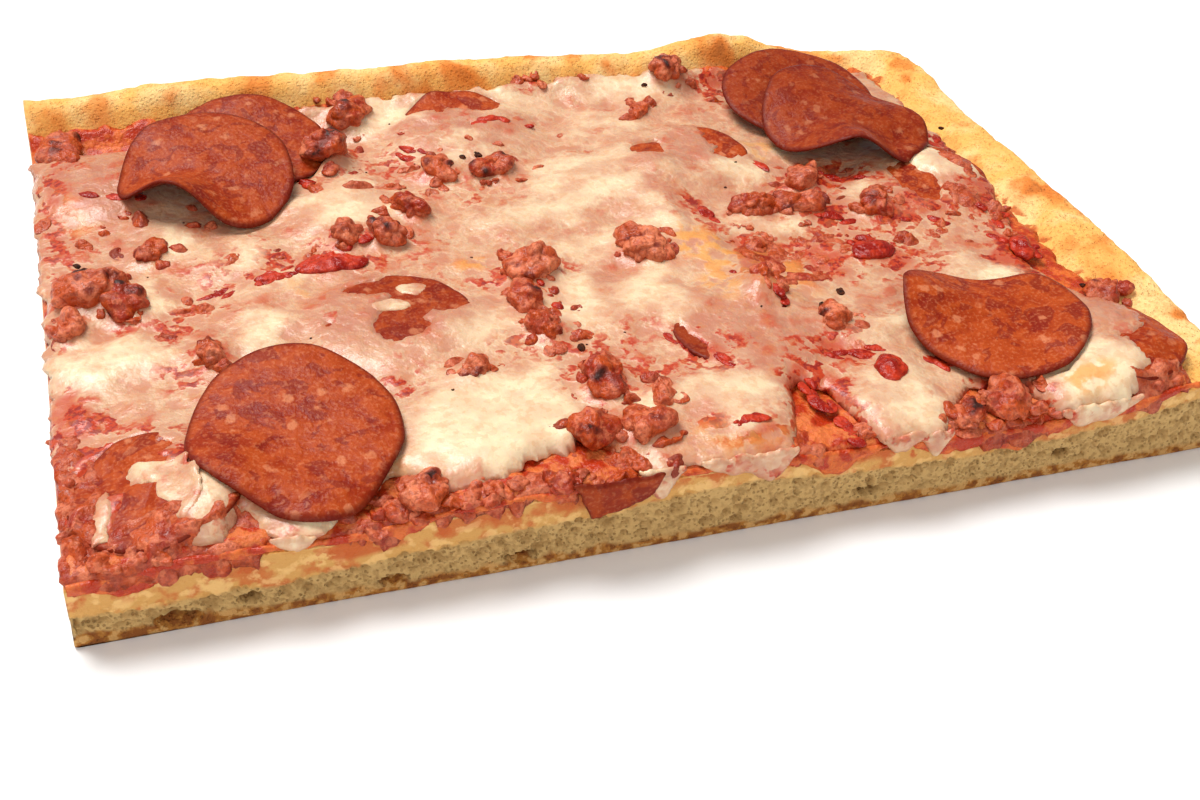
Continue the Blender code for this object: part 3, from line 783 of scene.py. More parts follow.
@dataclass(frozen=True)
class CheeseFinish:
    """Melted cheese: cream where thick, pinkish and greasy where thin."""

    pink: Colour = linear(194, 124, 96)
    warm: Colour = linear(212, 169, 134)
    cream: Colour = linear(240, 217, 178)
    shade: Colour = linear(224, 188, 148)
    stain: Colour = linear(190, 62, 26)
    deep_stain: Colour = linear(146, 26, 10)
    mauve: Colour = linear(180, 106, 84)
    lump: Colour = linear(190, 84, 48)
    gold: Colour = linear(230, 160, 78)
    fleck: Colour = linear(206, 128, 64)

    def build(self) -> Material:
        """Make the material, which reads the masks cream, stain, mauve, gold and lump."""
        paint = Paint("melted_cheese")
        marble = paint.grain(7.5, 3, 1.2)
        middle = paint.grain(3.2, 3, 1.5)
        fine = paint.grain(1.2, 4, 1.6)
        paint.colour = paint.mix(self.pink, self.warm, paint.spread(marble, -0.5, 0.7))
        paint.over(self.pink, paint.spread(middle, 0.45, 0.0, 0, 0.7))
        paint.over(self.mauve, paint.times(paint.mask("mauve"), 0.6))
        lump = paint.times(paint.mask("lump"), paint.spread(middle, 0.05, 0.7, 0.2, 1.0))
        paint.over(self.lump, paint.times(lump, 0.8))
        blotch = paint.times(paint.spread(middle, 0.35, 0.8), paint.spread(fine, 0.1, 0.7, 0.5, 1.0))
        stain = paint.times(paint.spread(paint.mask("stain"), 0.0, 1.0, 0.2, 1.1), blotch)
        stain = paint.plus(stain, paint.spread(paint.mask("stain"), 0.5, 1.1, 0, 0.45))
        paint.over(self.stain, paint.spread(stain, 0.06, 0.6))
        paint.over(self.deep_stain, paint.spread(paint.times(stain, fine), 0.3, 0.9))
        cream = paint.plus(paint.mask("cream"), paint.spread(marble, 0, 1, -0.22, 0.16))
        pale = paint.mix(self.cream, self.shade, paint.spread(middle, 0.3, 1.0, 0, 0.35))
        pale = paint.mix(pale, self.warm, paint.spread(paint.grain(9, 3, 1.3), 0.5, 0.0, 0, 0.5))
        paint.over(pale, paint.spread(cream, 0.0, 0.95))
        gold = paint.times(paint.mask("gold"), paint.spread(middle, 0.05, 0.8))
        paint.over(self.gold, paint.spread(gold, 0.0, 1.0, 0, 0.8))
        paint.over(self.fleck, paint.spread(paint.grain(1.8, 2, 3.0), 0.9, 1.0, 0, 0.2))
        paint.set(Subsurface_Weight=0.2, Subsurface_Radius=(1.0, 0.5, 0.25), Subsurface_Scale=0.0014,
                  Specular_IOR_Level=0.35, Coat_Weight=0.22, Coat_Roughness=0.14)
        rise = paint.times(middle, paint.spread(paint.mask("cream"), 0.0, 1.0, 1.0, 0.35))
        normal = paint.bump(fine, 0.06, 0.5, paint.bump(rise, 0.35, 0.6))
        return paint.finish(paint.spread(fine, 0, 1, 0.28, 0.45), normal)


@dataclass(frozen=True)
class PepperoniFinish:
    """Baked pepperoni: orange-red meat with purple and fat spots, a darker rim, and painted shade in the
    rim's colour.
    """

    meat: Colour = linear(150, 46, 13)
    orange: Colour = linear(176, 70, 22)
    purple: Colour = linear(116, 20, 16)
    fat: Colour = linear(216, 134, 92)
    # The dark rim, whose colour also gives the painted shade
    rim: Colour = linear(98, 18, 7)

    def build(self) -> Material:
        """Make the material, which reads the masks rim and shade."""
        paint = Paint("pepperoni")
        mottled, speck, wobble = paint.grain(3.0, 6, 1.2), paint.grain(0.7, 2, 1.2), paint.grain(1.6, 3)
        paint.colour = paint.mix(self.meat, self.orange, paint.spread(mottled, 0.1, 0.95))
        paint.over(self.orange, paint.spread(paint.grain(14, 3, 1.6), 0.4, 1.0, 0, 0.6))
        ragged = paint.spread(wobble, 0, 1, -0.14, 0.14)
        dark = paint.spread(paint.grain(4.8, 4, 2.2, distortion=0.6), 0.78, 1.0, 0, 0.6)
        paint.over(self.purple, dark)
        small = paint.plus(paint.cells(3.4), ragged)
        pale = paint.times(paint.spread(small, 0.4, 0.16), paint.spread(paint.cells(3.4, "Color"), 0.6, 0.68))
        paint.over(self.fat, paint.times(pale, 0.6))
        paint.over(self.fat, paint.spread(speck, 0.62, 1.0, 0, 0.26))
        paint.over(self.purple, paint.spread(speck, 0.3, 0.0, 0, 0.2))
        paint.over(self.rim, paint.times(paint.mask("rim"), 0.8))
        # Painted shade: the rim's colour darkens shaded slices and the undersides
        paint.over(self.rim, paint.times(paint.mask("shade"), 0.7))
        paint.set(Subsurface_Weight=0.05, Subsurface_Radius=(1.0, 0.3, 0.15), Subsurface_Scale=0.001,
                  Specular_IOR_Level=0.12)
        normal = paint.bump(speck, 0.08, 0.6, paint.bump(mottled, 0.25, 0.6))
        return paint.finish(paint.spread(mottled, 0, 1, 0.34, 0.5), normal)


@dataclass(frozen=True)
class SausageFinish:
    """Browned crumbled sausage, with painted shade in its crevices."""

    meat: Colour = linear(166, 45, 14)
    pink: Colour = linear(224, 124, 84)
    brown: Colour = linear(120, 32, 12)
    char: Colour = linear(44, 18, 12)
    grease: Colour = linear(190, 74, 22)

    def build(self) -> Material:
        """Make the material, which reads the masks char, tint and crevice."""
        paint = Paint("sausage")
        mottled, fine, wide = paint.grain(2.2, 4, 1.8), paint.grain(0.8, 3, 1.4), paint.grain(4.2, 3, 1.8)
        paint.colour = paint.mix(self.meat, self.grease, paint.spread(wide, 0.3, 0.9))
        paint.over(self.pink, paint.spread(mottled, 0.6, 1.0, 0, 0.6))
        tint = paint.times(paint.mask("tint"), paint.spread(wide, 0.75, 0.2, 0.15, 1.0))
        paint.over(self.pink, paint.times(tint, 0.9))
        # Painted shade: the crevices between the granules darkened with the brown
        paint.over(self.brown, paint.times(paint.mask("crevice"), 0.4))
        paint.over(self.brown, paint.spread(fine, 0.42, 0.0, 0, 0.5))
        char = paint.times(paint.mask("char"), paint.spread(mottled, 0.1, 0.6, 0.5, 1.0))
        paint.over(self.brown, paint.spread(char, 0.1, 0.6, 0, 0.9))
        paint.over(self.char, paint.spread(char, 0.6, 1.0, 0, 0.9))
        paint.set(Subsurface_Weight=0.1, Subsurface_Radius=(1.0, 0.4, 0.2), Subsurface_Scale=0.001,
                  Specular_IOR_Level=0.3, Coat_Weight=0.05, Coat_Roughness=0.12)
        normal = paint.bump(fine, 0.18, 0.8)
        return paint.finish(paint.spread(mottled, 0, 1, 0.3, 0.5), normal)


@dataclass(frozen=True)
class SauceFinish:
    """Wet tomato sauce, or the redder flesh of tomato."""

    name: str = "tomato_sauce"
    bright: Colour = linear(218, 104, 40)
    deep: Colour = linear(180, 50, 16)
    meaty: Colour = linear(214, 118, 66)
    shine: float = 0.3

    def build(self) -> Material:
        """Make the material, which reads the mask meaty where the mesh has it."""
        paint = Paint(self.name)
        wide, fine = paint.grain(3.6, 4, 1.8), paint.grain(1.1, 3, 1.4)
        paint.colour = paint.mix(self.deep, self.bright, paint.spread(wide, 0.1, 0.9))
        paint.over(self.deep, paint.spread(fine, 0.55, 0.1, 0, 0.5))
        meaty = paint.times(paint.mask("meaty"), paint.spread(wide, 0.1, 0.7))
        paint.over(self.meaty, paint.times(meaty, 0.85))
        paint.set(Subsurface_Weight=0.12, Subsurface_Radius=(1.0, 0.25, 0.1), Subsurface_Scale=0.0012,
                  Specular_IOR_Level=0.25, Coat_Weight=0.1, Coat_Roughness=0.12)
        normal = paint.bump(fine, 0.25, 0.8)
        return paint.finish(paint.spread(wide, 0, 1, self.shine, self.shine + 0.2), normal)


@dataclass(frozen=True)
class BreadFinish:
    """Bread: open crumb at the cuts with painted shade in its pores, a denser band above it, and a baked
    skin.
    """

    crumb: Colour = linear(200, 162, 103)
    crumb_grain_and_pore_shade: Colour = linear(134, 96, 48)
    dense: Colour = linear(212, 158, 86)
    stain: Colour = linear(196, 92, 36)
    base: Colour = linear(172, 112, 46)
    skin: Colour = linear(246, 182, 96)
    pale: Colour = linear(250, 208, 138)
    toast: Colour = linear(226, 124, 44)
    brown: Colour = linear(122, 60, 22)

    def build(self) -> Material:
        """Make the material, which reads the masks skin, dense, pore, base, stain and toast."""
        paint = Paint("bread")
        wide, fine, speck = paint.grain(12, 4, 1.3), paint.grain(1.1, 4, 1.5), paint.grain(2.2, 4, 2.4)
        cut = paint.mix(self.crumb, self.crumb_grain_and_pore_shade, paint.spread(fine, 0.5, 0.0, 0, 0.35))
        # Painted shade: the crumb darkened in the pores, the more the deeper they are
        cut = paint.mix(cut, self.crumb_grain_and_pore_shade, paint.times(paint.mask("pore"), 0.8))
        tiny = paint.times(paint.spread(paint.cells(0.8), 0.42, 0.2), paint.spread(fine, 0.2, 0.8, 0.4, 1.0))
        # Painted shade in tiny pores too small for the mesh; the same pattern sinks them by bump below
        cut = paint.mix(cut, self.crumb_grain_and_pore_shade, paint.times(tiny, 0.6))
        dense = paint.mix(self.dense, self.stain, paint.spread(paint.grain(5, 5, 1.8), 0.45, 1.0, 0, 0.75))
        dense = paint.mix(dense, self.pale, paint.spread(paint.grain(3.4, 4, 1.8), 0.4, 0.0, 0, 0.5))
        cut = paint.mix(cut, dense, paint.mask("dense"))
        stain = paint.times(paint.mask("stain"), paint.spread(paint.grain(4, 4, 2.2), 0.2, 0.8))
        base = paint.mix(self.base, self.brown, paint.spread(speck, 0.55, 1.0, 0, 0.7))
        base = paint.mix(base, self.pale, paint.spread(speck, 0.4, 0.0, 0, 0.35))
        cut = paint.mix(cut, base, paint.mask("base"))
        skin = paint.mix(self.skin, self.pale, paint.spread(wide, 0.2, 1.0))
        skin = paint.mix(skin, self.toast, paint.spread(fine, 0.6, 1.0, 0, 0.2))
        toast = paint.plus(paint.mask("toast"), paint.spread(paint.grain(13, 5, 0.9), 0.4, 1.0, 0, 0.5))
        skin = paint.mix(skin, self.toast, paint.spread(toast, 0.15, 1.0, 0, 0.95))
        skin = paint.mix(skin, self.brown, paint.spread(toast, 0.85, 1.5, 0, 0.75))
        paint.colour = paint.mix(cut, skin, paint.mask("skin"))
        paint.over(self.stain, paint.spread(stain, 0.08, 0.6, 0, 0.9))
        paint.set(Subsurface_Weight=0.15, Subsurface_Radius=(1.0, 0.7, 0.45), Subsurface_Scale=0.0016,
                  Specular_IOR_Level=0.25)
        open_crumb = paint.times(tiny, paint.spread(paint.mask("dense"), 0.0, 0.6, -1.0, 0.0))
        normal = paint.bump(open_crumb, 0.35, 0.8, paint.bump(paint.grain(0.6, 4), 0.18, 0.6))
        return paint.finish(paint.spread(paint.mask("dense"), 0, 1, 0.8, 0.5), normal)


@dataclass(frozen=True)
class FleckFinish:
    """Burnt specks and dried herbs."""

    dark: Colour = linear(34, 18, 12)
    light: Colour = linear(92, 44, 24)

    def build(self) -> Material:
        """Make the material."""
        paint = Paint("burnt_fleck")
        paint.colour = paint.mix(self.dark, self.light, paint.grain(0.8, 3, 1.6))
        paint.set(Specular_IOR_Level=0.1)
        return paint.finish(0.7, paint.bump(paint.grain(0.5, 3), 0.1, 0.8))


@dataclass
class Piece:
    """What every visible piece needs to become an object of the scene."""

    name: str
    slot: Slot
    replaced: tuple[str, ...] = ()

    def add(self, points: Array, faces: Faces, material: Material,
            masks: dict[str, Array] | None = None) -> None:
        """Make the object and put it on the frame.

        Args:
            points: its points in the design's millimetres.
            faces: its faces.
            material: its finish.
            masks: values at the points for the finish to read.
        """
        placed = (np.asarray(points, float) + (0, FRAME_SHIFT, 0)) * MM
        mesh = bpy.data.meshes.new(self.name)
        mesh.from_pydata(placed.tolist(), [], faces)
        mesh.materials.append(material)
        mesh.shade_smooth()
        for key, values in (masks or {}).items():
            layer = mesh.attributes.new(key, "FLOAT", "POINT")
            layer.data.foreach_set("value", np.asarray(values, np.float32))
        thing = show(self.name, mesh)
        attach(thing, BODY)
        if self.replaced:
            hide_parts(*self.replaced)
        triangles = sum(len(face) - 2 for face in faces)
        LOG.info("%s: %d points, %d triangles", self.name, len(placed), triangles)

    def add_layer(self, layer: Layer, shape: tuple[Array, Faces, Array],
                  material: Material, masks: dict[str, Array]) -> None:
        """Make the object from a closed layer.

        Args:
            layer: the layer.
            shape: its points, faces and places, as its solid() gives them.
            material: its finish.
            masks: values over the layer's grid for the finish to read.
        """
        points, faces, places = shape
        self.add(points, faces, material, {key: layer.read(values)[places] for key, values in masks.items()})


def stand_up(points: Array) -> Array:
    """Turn points along x, up z and out of the front cut into the design's x, y and z."""
    return np.stack([points[:, 0], -HALF_DEPTH - points[:, 2], points[:, 1]], 1)


class Ground:
    """The CAD surfaces that the pieces follow, felt once over one grid."""

    def __init__(self, nodes: dict[str, bpy.types.Object]) -> None:
        """Feel the sauce, the cheese, the slices and the lumps."""
        self.nodes = nodes
        self.grid = Grid(-116, 116, -84, 82, 0.9)
        u, v = self.grid.u, self.grid.v
        self.slices = [name for name in sorted(nodes) if name.startswith("pepperoni")]
        self.lumps = [name for name in sorted(nodes) if name.startswith("sausage")]
        self.tomatoes = [name for name in sorted(nodes) if name.startswith("tomato")]
        sauce, cheese = Relief([nodes["sauce"]]), Relief([nodes["cheese"]])
        self.sauce_top = blur(fill(sauce.feel(u, v), 12), 2)
        self.sauce_low = blur(fill(sauce.feel(u, v, True), 12), 2)
        self.cheese_top = blur(fill(cheese.feel(u, v), 30), 3)
        self.cheese_low = blur(fill(cheese.feel(u, v, True), 30), 2)
        self.slice_top = Relief([nodes[name] for name in self.slices[:-1]]).feel(u, v)
        covered = Relief([nodes[name] for name in self.slices if name.split("_")[1] in COVERED])
        covered_top = covered.feel(u, v)
        self.covered_top = np.where(np.isnan(covered_top), -SKY, covered_top)
        self.covered = blur((~np.isnan(covered_top)).astype(float), 3)
        above = np.clip(covered_top - self.cheese_top, 0, 4)
        self.swell = blur(np.where(np.isnan(covered_top), 0, above), 36)
        opened = Relief([nodes[name] for name in self.slices[:-1] if name.split("_")[1] not in COVERED])
        self.opened = blur((~np.isnan(opened.feel(u, v))).astype(float), 1)
        lumps = Relief([nodes[name] for name in self.lumps + self.tomatoes]).feel(u, v)
        self.lump_rise = np.where(np.isnan(lumps), 0.0, np.clip(lumps - self.cheese_top, 0, 8))
        self.lump_spots = []
        for name in self.lumps:
            points = Relief([nodes[name]]).points
            middle, reach = (points.min(0) + points.max(0)) / 2, np.ptp(points, 0)
            self.lump_spots.append((middle[0], middle[1], (reach[0] + reach[1]) / 4))
        self.melt_top = self.cheese_top

    def read(self, values: Array, x: Array, y: Array) -> Array:
        """Read values over the ground's grid between its places."""
        return self.grid.read(values, x, y)


class Side(IntEnum):
    """The sides of the bread."""

    FRONT = 0
    RIGHT = 1
    BACK = 2
    LEFT = 3


@dataclass
class Bread(Piece):
    """The dough with its crust, the cut faces and their crumb."""

    name: str = "bread"
    slot: Slot = Slot.CRUST
    replaced: tuple[str, ...] = ("dough",)
    flat_step: float = 1.2
    rim_step: float = 0.7
    rim_x: float = 90.0
    rim_y: float = 58.0
    corner: tuple[float, float] = (95.0, 60.0)
    splits: int = 3
    levels: int = 30
    bulge: tuple[tuple[float, float], ...] = ((0.0, 0.2), (0.1, 1.0), (0.28, 1.2), (0.58, 1.2), (0.84, 0.95),
                                              (1.0, 0.0))
    pores: int = 1500
    base_crust: float = 2.1
    left_crumb: float = 10.5
    deepest: float = 4.5

    def round_corner(self, x: Array, y: Array) -> tuple[Array, Array]:
        """Bend the grid's far right corner into the rounded corner of the crust."""
        across = np.clip((x - self.corner[0]) / (HALF_WIDTH - self.corner[0]), 0, 1)
        deep = np.clip((y - self.corner[1]) / (HALF_DEPTH - self.corner[1]), 0, 1)
        both = (across > 0) & (deep > 0)
        return (np.where(both, self.corner[0] + (x - self.corner[0]) * np.sqrt(1 - deep * deep / 2), x),
                np.where(both, self.corner[1] + (y - self.corner[1]) * np.sqrt(1 - across * across / 2), y))

    def rim(self, x: Array, y: Array) -> Array:
        """Return where from 0 to 1 the raised crust is."""
        return np.maximum(ease((x - 96) / 8), ease((y - 64) / 7))

    def upper(self, ground: Ground) -> tuple[Array, Array, Array]:
        """Return the places and heights of the upper surface."""
        xs = np.concatenate([np.arange(-HALF_WIDTH, self.rim_x, self.flat_step),
                             np.arange(self.rim_x, HALF_WIDTH - 0.3, self.rim_step), [HALF_WIDTH]])
        ys = np.concatenate([np.arange(-HALF_DEPTH, self.rim_y, self.flat_step),
                             np.arange(self.rim_y, HALF_DEPTH - 0.3, self.rim_step), [HALF_DEPTH]])
        x, y = self.round_corner(*np.meshgrid(xs, ys))
        height = Relief([ground.nodes["dough"]]).feel(x * 0.9985, y * 0.998)
        height = blur(fill(height, 3), 3)
        rim = self.rim(x, y)
        blister = NOISE.rough(x, y, 5, 7, 4)
        crack = np.abs(NOISE.waves(x, y, 21, 9) + 0.35 * NOISE.waves(x, y, 23, 3))
        height += rim * (0.45 * blister - 0.7 * np.clip(1 - crack / 0.07, 0, 1))
        height += rim * 0.12 * NOISE.rough(x, y, 9, 1.8, 2)
        return x, y, height

    def pore_depth(self, along: Array, z: Array, ceiling: Array, seed: int,
                   low: float, high: float) -> Array:
        """Return how deep the pores are at points of a cut face.

        Args:
            along, z: the points.
            ceiling: the height at each point where the open crumb ends.
            seed: which draw of pores.
            low, high: the ends of the face.

        Returns:
            The depth at each point.
        """
        draw = np.random.default_rng(seed)
        depth = np.zeros(along.shape)
        count = int(self.pores * (high - low) / (2 * HALF_WIDTH))
        middles = draw.uniform(low, high, count)
        radii = 0.2 + 0.65 * draw.random(count) ** 4
        rises = draw.random(count)
        longer = draw.uniform(1.0, 1.7, count)
        order = np.argsort(along)
        ranked = along[order]
        for middle, radius, rise, stretch in zip(middles, radii, rises, longer):
            width = radius * stretch
            first, last = np.searchsorted(ranked, (middle - width, middle + width))
            near = order[first:last]
            if not len(near):
                continue
            top = ceiling[near[0]] + 0.6
            level = self.base_crust + 0.5 + radius + rise * (top - self.base_crust - 0.5 - radius)
            away = ((along[near] - middle) / width) ** 2 + ((z[near] - level) / radius) ** 2
            bowl = 1.1 * radius * np.sqrt(np.clip(1 - away, 0, 1))
            depth[near] = np.maximum(depth[near], bowl)
        return depth

    def holes(self, along: Array, z: Array) -> Array:
        """Return how deep the larger holes are at points of the front cut."""
        depth = np.zeros(along.shape)
        for middle, level, length, height in CRUMB_HOLES:
            shape = 0.12 * NOISE.waves(along, z, 13, 1.6)
            away = ((along - middle) / length * 2) ** 2 + ((z - level) / height * 2) ** 2 + shape
            depth = np.maximum(depth, 3.4 * np.sqrt(np.clip(1 - away, 0, 1)))
        return depth

    def edge(self, places: Array, border: list[tuple[int, int]]) -> tuple[Array, Array, list[int]]:
        """Divide the edge of the upper surface, more finely along the cuts.

        Args:
            places: x, y and height over the grid of the upper surface.
            border: the row and column of each place round it.

        Returns:
            The points, the side that each is on, and the number of the first point of each border place.
        """
        rows, columns = places.shape[:2]
        points, sides, starts = [], [], []
        for (i, j), (after_i, after_j) in zip(border, border[1:] + border[:1]):
            if i == after_i == 0:
                side = Side.FRONT
            elif j == after_j == columns - 1:
                side = Side.RIGHT
            else:
                side = Side.BACK if i == after_i == rows - 1 else Side.LEFT
            pieces = self.splits if side in (Side.FRONT, Side.LEFT) else 1
            starts.append(len(points))
            for share in (part / pieces for part in range(pieces)):
                points.append(places[i, j] * (1 - share) + places[after_i, after_j] * share)
                sides.append(int(side))
        return np.array(points), np.array(sides), starts

    def bulged(self, edge: Array, side: Array, share: Array) -> tuple[Array, Array, Array]:
        """Swell the outer sides of the crust.

        Args:
            edge: the points round the upper surface.
            side: the side that each is on.
            share: the height of each point of the walls, from 1 at the edge to 0 at the base.

        Returns:
            The x, y and z of the walls.
        """
        x, y = (np.repeat(edge[None, :, axis], self.levels, 0) for axis in (0, 1))
        z = share * edge[:, 2]
        from_x, from_y = edge[:, 0] - self.corner[0], edge[:, 1] - self.corner[1]
        turned = (from_x > 0) & (from_y > 0)
        length = np.hypot(from_x, from_y) + 1e-6
        roll = line(share, self.bulge) * (1 + 0.2 * NOISE.waves(x, y, z, 12))
        roll += 0.25 * NOISE.rough(x, y, z, 5, 3) * (share < 0.99)
        return (x + np.where(turned, from_x / length, side == Side.RIGHT) * roll,
                y + np.where(turned, from_y / length, side == Side.BACK) * roll, z)

    def cut_pores(self, x: Array, y: Array, z: Array, side: Array,
                  ceiling: Array) -> Array:
        """Return how deep the pores and holes are at points of the walls, which is 0 on the crust.

        Args:
            x, y, z: the points.
            side: the side that each column of points is on.
            ceiling: the height at each point where the open crumb ends.

        Returns:
            The depth at each point.
        """
        pore = np.zeros(x.shape)
        for cut, along, seed, half in ((Side.FRONT, x, 5, HALF_WIDTH), (Side.LEFT, y, 6, HALF_DEPTH)):
            here = side == cut
            flat = [values[:, here].ravel() for values in (along, z, ceiling)]
            depth = self.pore_depth(*flat, seed, -half, half)
            if cut is Side.FRONT:
                depth = np.maximum(depth, self.holes(flat[0], flat[1]))
            pore[:, here] = depth.reshape(self.levels, -1)
        return pore

    def joined(self, index: Array, border: list[tuple[int, int]], starts: list[int],
               count: int) -> Faces:
        """Close the bread: its upper surface, the walls under it and the base.

        Args:
            index: the point number of each place of the upper surface.
            border: the row and column of each place round it.
            starts: the number of the first edge point of each border place.
            count: how many points there are round the edge.

        Returns:
            The faces.
        """
        top = np.stack([index[:-1, :-1], index[:-1, 1:], index[1:, 1:], index[1:, :-1]], -1)
        faces: Faces = [tuple(face) for face in top.reshape(-1, 4).tolist()]
        ring = index.size + np.arange((self.levels - 1) * count).reshape(self.levels - 1, count)
        for number, (first, last) in enumerate(zip(starts, starts[1:] + [count])):
            here, after = (int(index[border[at % len(border)]]) for at in (number, number + 1))
            fine = [int(ring[0, step % count]) for step in range(first, last + 1)]
            middle = len(fine) // 2
            for step in range(len(fine) - 1):
                faces.append((here if step < middle else after, fine[step], fine[step + 1]))
            faces.append((here, fine[middle], after))
        rolled = np.roll(ring, -1, 1)
        walls = np.stack([ring[:-1], ring[1:], rolled[1:], rolled[:-1]], -1)
        faces += [tuple(face) for face in walls.reshape(-1, 4).tolist()]
        faces.append(tuple(reversed(ring[-1].tolist())))
        return faces

    def top_masks(self, x: Array, y: Array) -> dict[str, Array]:
        """Return the colour masks of the upper surface: all skin, stained inside and toasted on the rim."""
        rim = self.rim(x, y)
        none = np.zeros(x.shape)
        return {
            "skin": none + 1, "dense": none, "pore": none, "base": none,
            "stain": ease(1.55 - 1.7 * rim) * ease(0.55 + NOISE.rough(x, y, 35, 9, 4)),
            "toast": 0.75 * rim * ease(NOISE.rough(x, y, 33, 10, 5) + 0.22),
        }

    def build(self, ground: Ground, material: Material) -> None:
        """Make the bread from its upper surface down."""
        x, y, height = self.upper(ground)
        rows, columns = x.shape
        border = ([(0, j) for j in range(columns)] + [(i, columns - 1) for i in range(1, rows)]
                  + [(rows - 1, j) for j in range(columns - 2, -1, -1)]
                  + [(i, 0) for i in range(rows - 2, 0, -1)])
        places = np.stack([x, y, height], -1)
        edge, side, starts = self.edge(places, border)
        share = np.repeat(np.linspace(1, 0, self.levels)[:, None], len(edge), 1)
        wall_x, wall_y, wall_z = self.bulged(edge, side, share)
        front, left = side == Side.FRONT, side == Side.LEFT
        ceiling = line(wall_x, CRUMB_LINE) + 0.8 * NOISE.rough(wall_x, wall_y, 0, 9, 2)
        ceiling = np.where(left, self.left_crumb + 0.8 * NOISE.waves(wall_y, 0, 5, 9), ceiling)
        pore = self.cut_pores(wall_x, wall_y, wall_z, side, ceiling)
        crumbly = ease((ceiling - wall_z) / 0.9 + 0.5) * ease((wall_z - self.base_crust) / 0.4 + 0.5)
        dent = 0.35 * (1 + NOISE.waves(wall_x + wall_y, wall_z, 2, 11))
        dent += 0.1 * NOISE.rough(wall_x, wall_y, wall_z, 1.4, 2)
        skirt = ease((share - 0.98) / 0.02)
        inward = (dent * (0.4 + 0.6 * crumbly) + pore) * (1 - skirt) + 0.5 * ease(1 - wall_z / 0.8) ** 2
        inward = np.clip(inward, 0, self.deepest)
        wall_y = wall_y + np.where(front, inward, 0)
        wall_x = wall_x + np.where(left, inward, 0)
        is_cut = np.repeat((front | left)[None], self.levels, 0)
        crust = self.base_crust * (1.1 + 0.4 * NOISE.rough(wall_x, wall_y, 0, 5, 3))
        wall = {
            "skin": 1.0 - is_cut * ease((0.995 - share) / 0.01),
            "dense": (1 - ease((ceiling - wall_z) / 0.8 + 0.5)) * is_cut,
            # The pores' depth, for the painted shade in them
            "pore": np.clip(pore / 1.2, 0, 1) * is_cut,
            "base": 1 - ease((wall_z - crust) / 0.7 + 0.5),
            "stain": (ease((wall_z - ceiling - 1.0) / 3.0) * (0.5 + 0.5 * NOISE.waves(wall_x, wall_z, 3, 9))
                      * ease((21.5 - edge[:, 2]) / 2)) * is_cut,
            "toast": 0.45 * ease(1 - wall_z / 9) + 0.12,
        }
        masks = {key: np.concatenate([top.ravel(), wall[key][1:].ravel()])
                 for key, top in self.top_masks(x, y).items()}
        points = np.concatenate([places.reshape(-1, 3),
                                 np.stack([wall_x, wall_y, wall_z], -1)[1:].reshape(-1, 3)])
        index = np.arange(rows * columns).reshape(rows, columns)
        self.add(points, self.joined(index, border, starts, len(edge)), material, masks)


@dataclass
class Sauce(Piece):
    """The layer of sauce and what of it hangs over the front cut."""

    name: str = "sauce_layer"
    slot: Slot = Slot.SAUCE
    replaced: tuple[str, ...] = ("sauce",)
    step: float = 1.3
    curtain_step: float = 0.5
    right: float = 98.5
    back: float = 69.0

    def sheet(self, ground: Ground) -> tuple[Array, Faces, Array]:
        """Return the layer on the dough, and how much meat is in it at each point."""
        grid = Grid(-HALF_WIDTH - 1, 101, -HALF_DEPTH - 1, 71, self.step)
        u, v = grid.u, grid.v
        ragged = 1.3 * NOISE.rough(u, v, 71, 7, 3)
        inside = np.minimum.reduce([u + HALF_WIDTH - 0.2, self.right - u + ragged, v + HALF_DEPTH - 0.1,
                                    self.back - v + ragged])
        corner = np.hypot(np.maximum(u - 90, 0), np.maximum(v - 58, 0))
        inside = np.minimum(inside, 11 - corner + ragged)
        layer = Layer(grid, inside)
        low = ground.read(ground.sauce_low, u, v)
        near, _, _ = NOISE.cells(u, v, 4, 3.6)
        crumbly = ease((-64 - v) / 6) + 0.6 * ease((-104 - u) / 5)
        high = ground.read(ground.sauce_top, u, v) + 0.3 * NOISE.rough(u, v, 72, 4, 3)
        high += crumbly * (1.0 - 1.6 * near ** 2)
        points, faces, places = layer.solid(low, np.maximum(high, low + 0.2), 1.4, 0.2)
        meaty = np.clip(crumbly * (1.3 - near) * (0.7 + 0.5 * NOISE.rough(u, v, 73, 9, 2)), 0, 1)
        return points, faces, layer.read(meaty)[places]

    def curtain(self, ground: Ground) -> tuple[Array, Faces]:
        """Return the sauce that hangs over the front cut, ragged at its lower edge."""
        grid = Grid(-HALF_WIDTH + 0.5, 100, 6, 20, self.curtain_step)
        x, z = grid.u, grid.v
        brink = ground.read(ground.sauce_low, x, np.full(x.shape, -HALF_DEPTH + 0.8))
        drip = -0.5 + 1.5 * NOISE.rough(x, 0, 81, 8, 4)
        for middle, half, length in SAUCE_DRIPS:
            drip = drip + length * np.exp(-((x - middle) / half) ** 2)
        low = brink - drip
        inside = level_set(np.minimum(z - low, brink + 1.4 - z), grid.step)
        layer = Layer(grid, inside)
        relief = 0.35 * NOISE.rough(x, z, 83, 3, 3)
        points, faces, _ = layer.solid(np.full(x.shape, -0.25), 0.75 + relief, 0.8, 0.2)
        return stand_up(points), faces

    def build(self, ground: Ground, material: Material) -> None:
        """Make the sauce."""
        points, faces, meaty = self.sheet(ground)
        more, hanging = self.curtain(ground)
        faces = faces + [tuple(index + len(points) for index in face) for face in hanging]
        meaty = np.concatenate([meaty, np.full(len(more), 0.25)])
        self.add(np.concatenate([points, more]), faces, material, {"meaty": meaty})


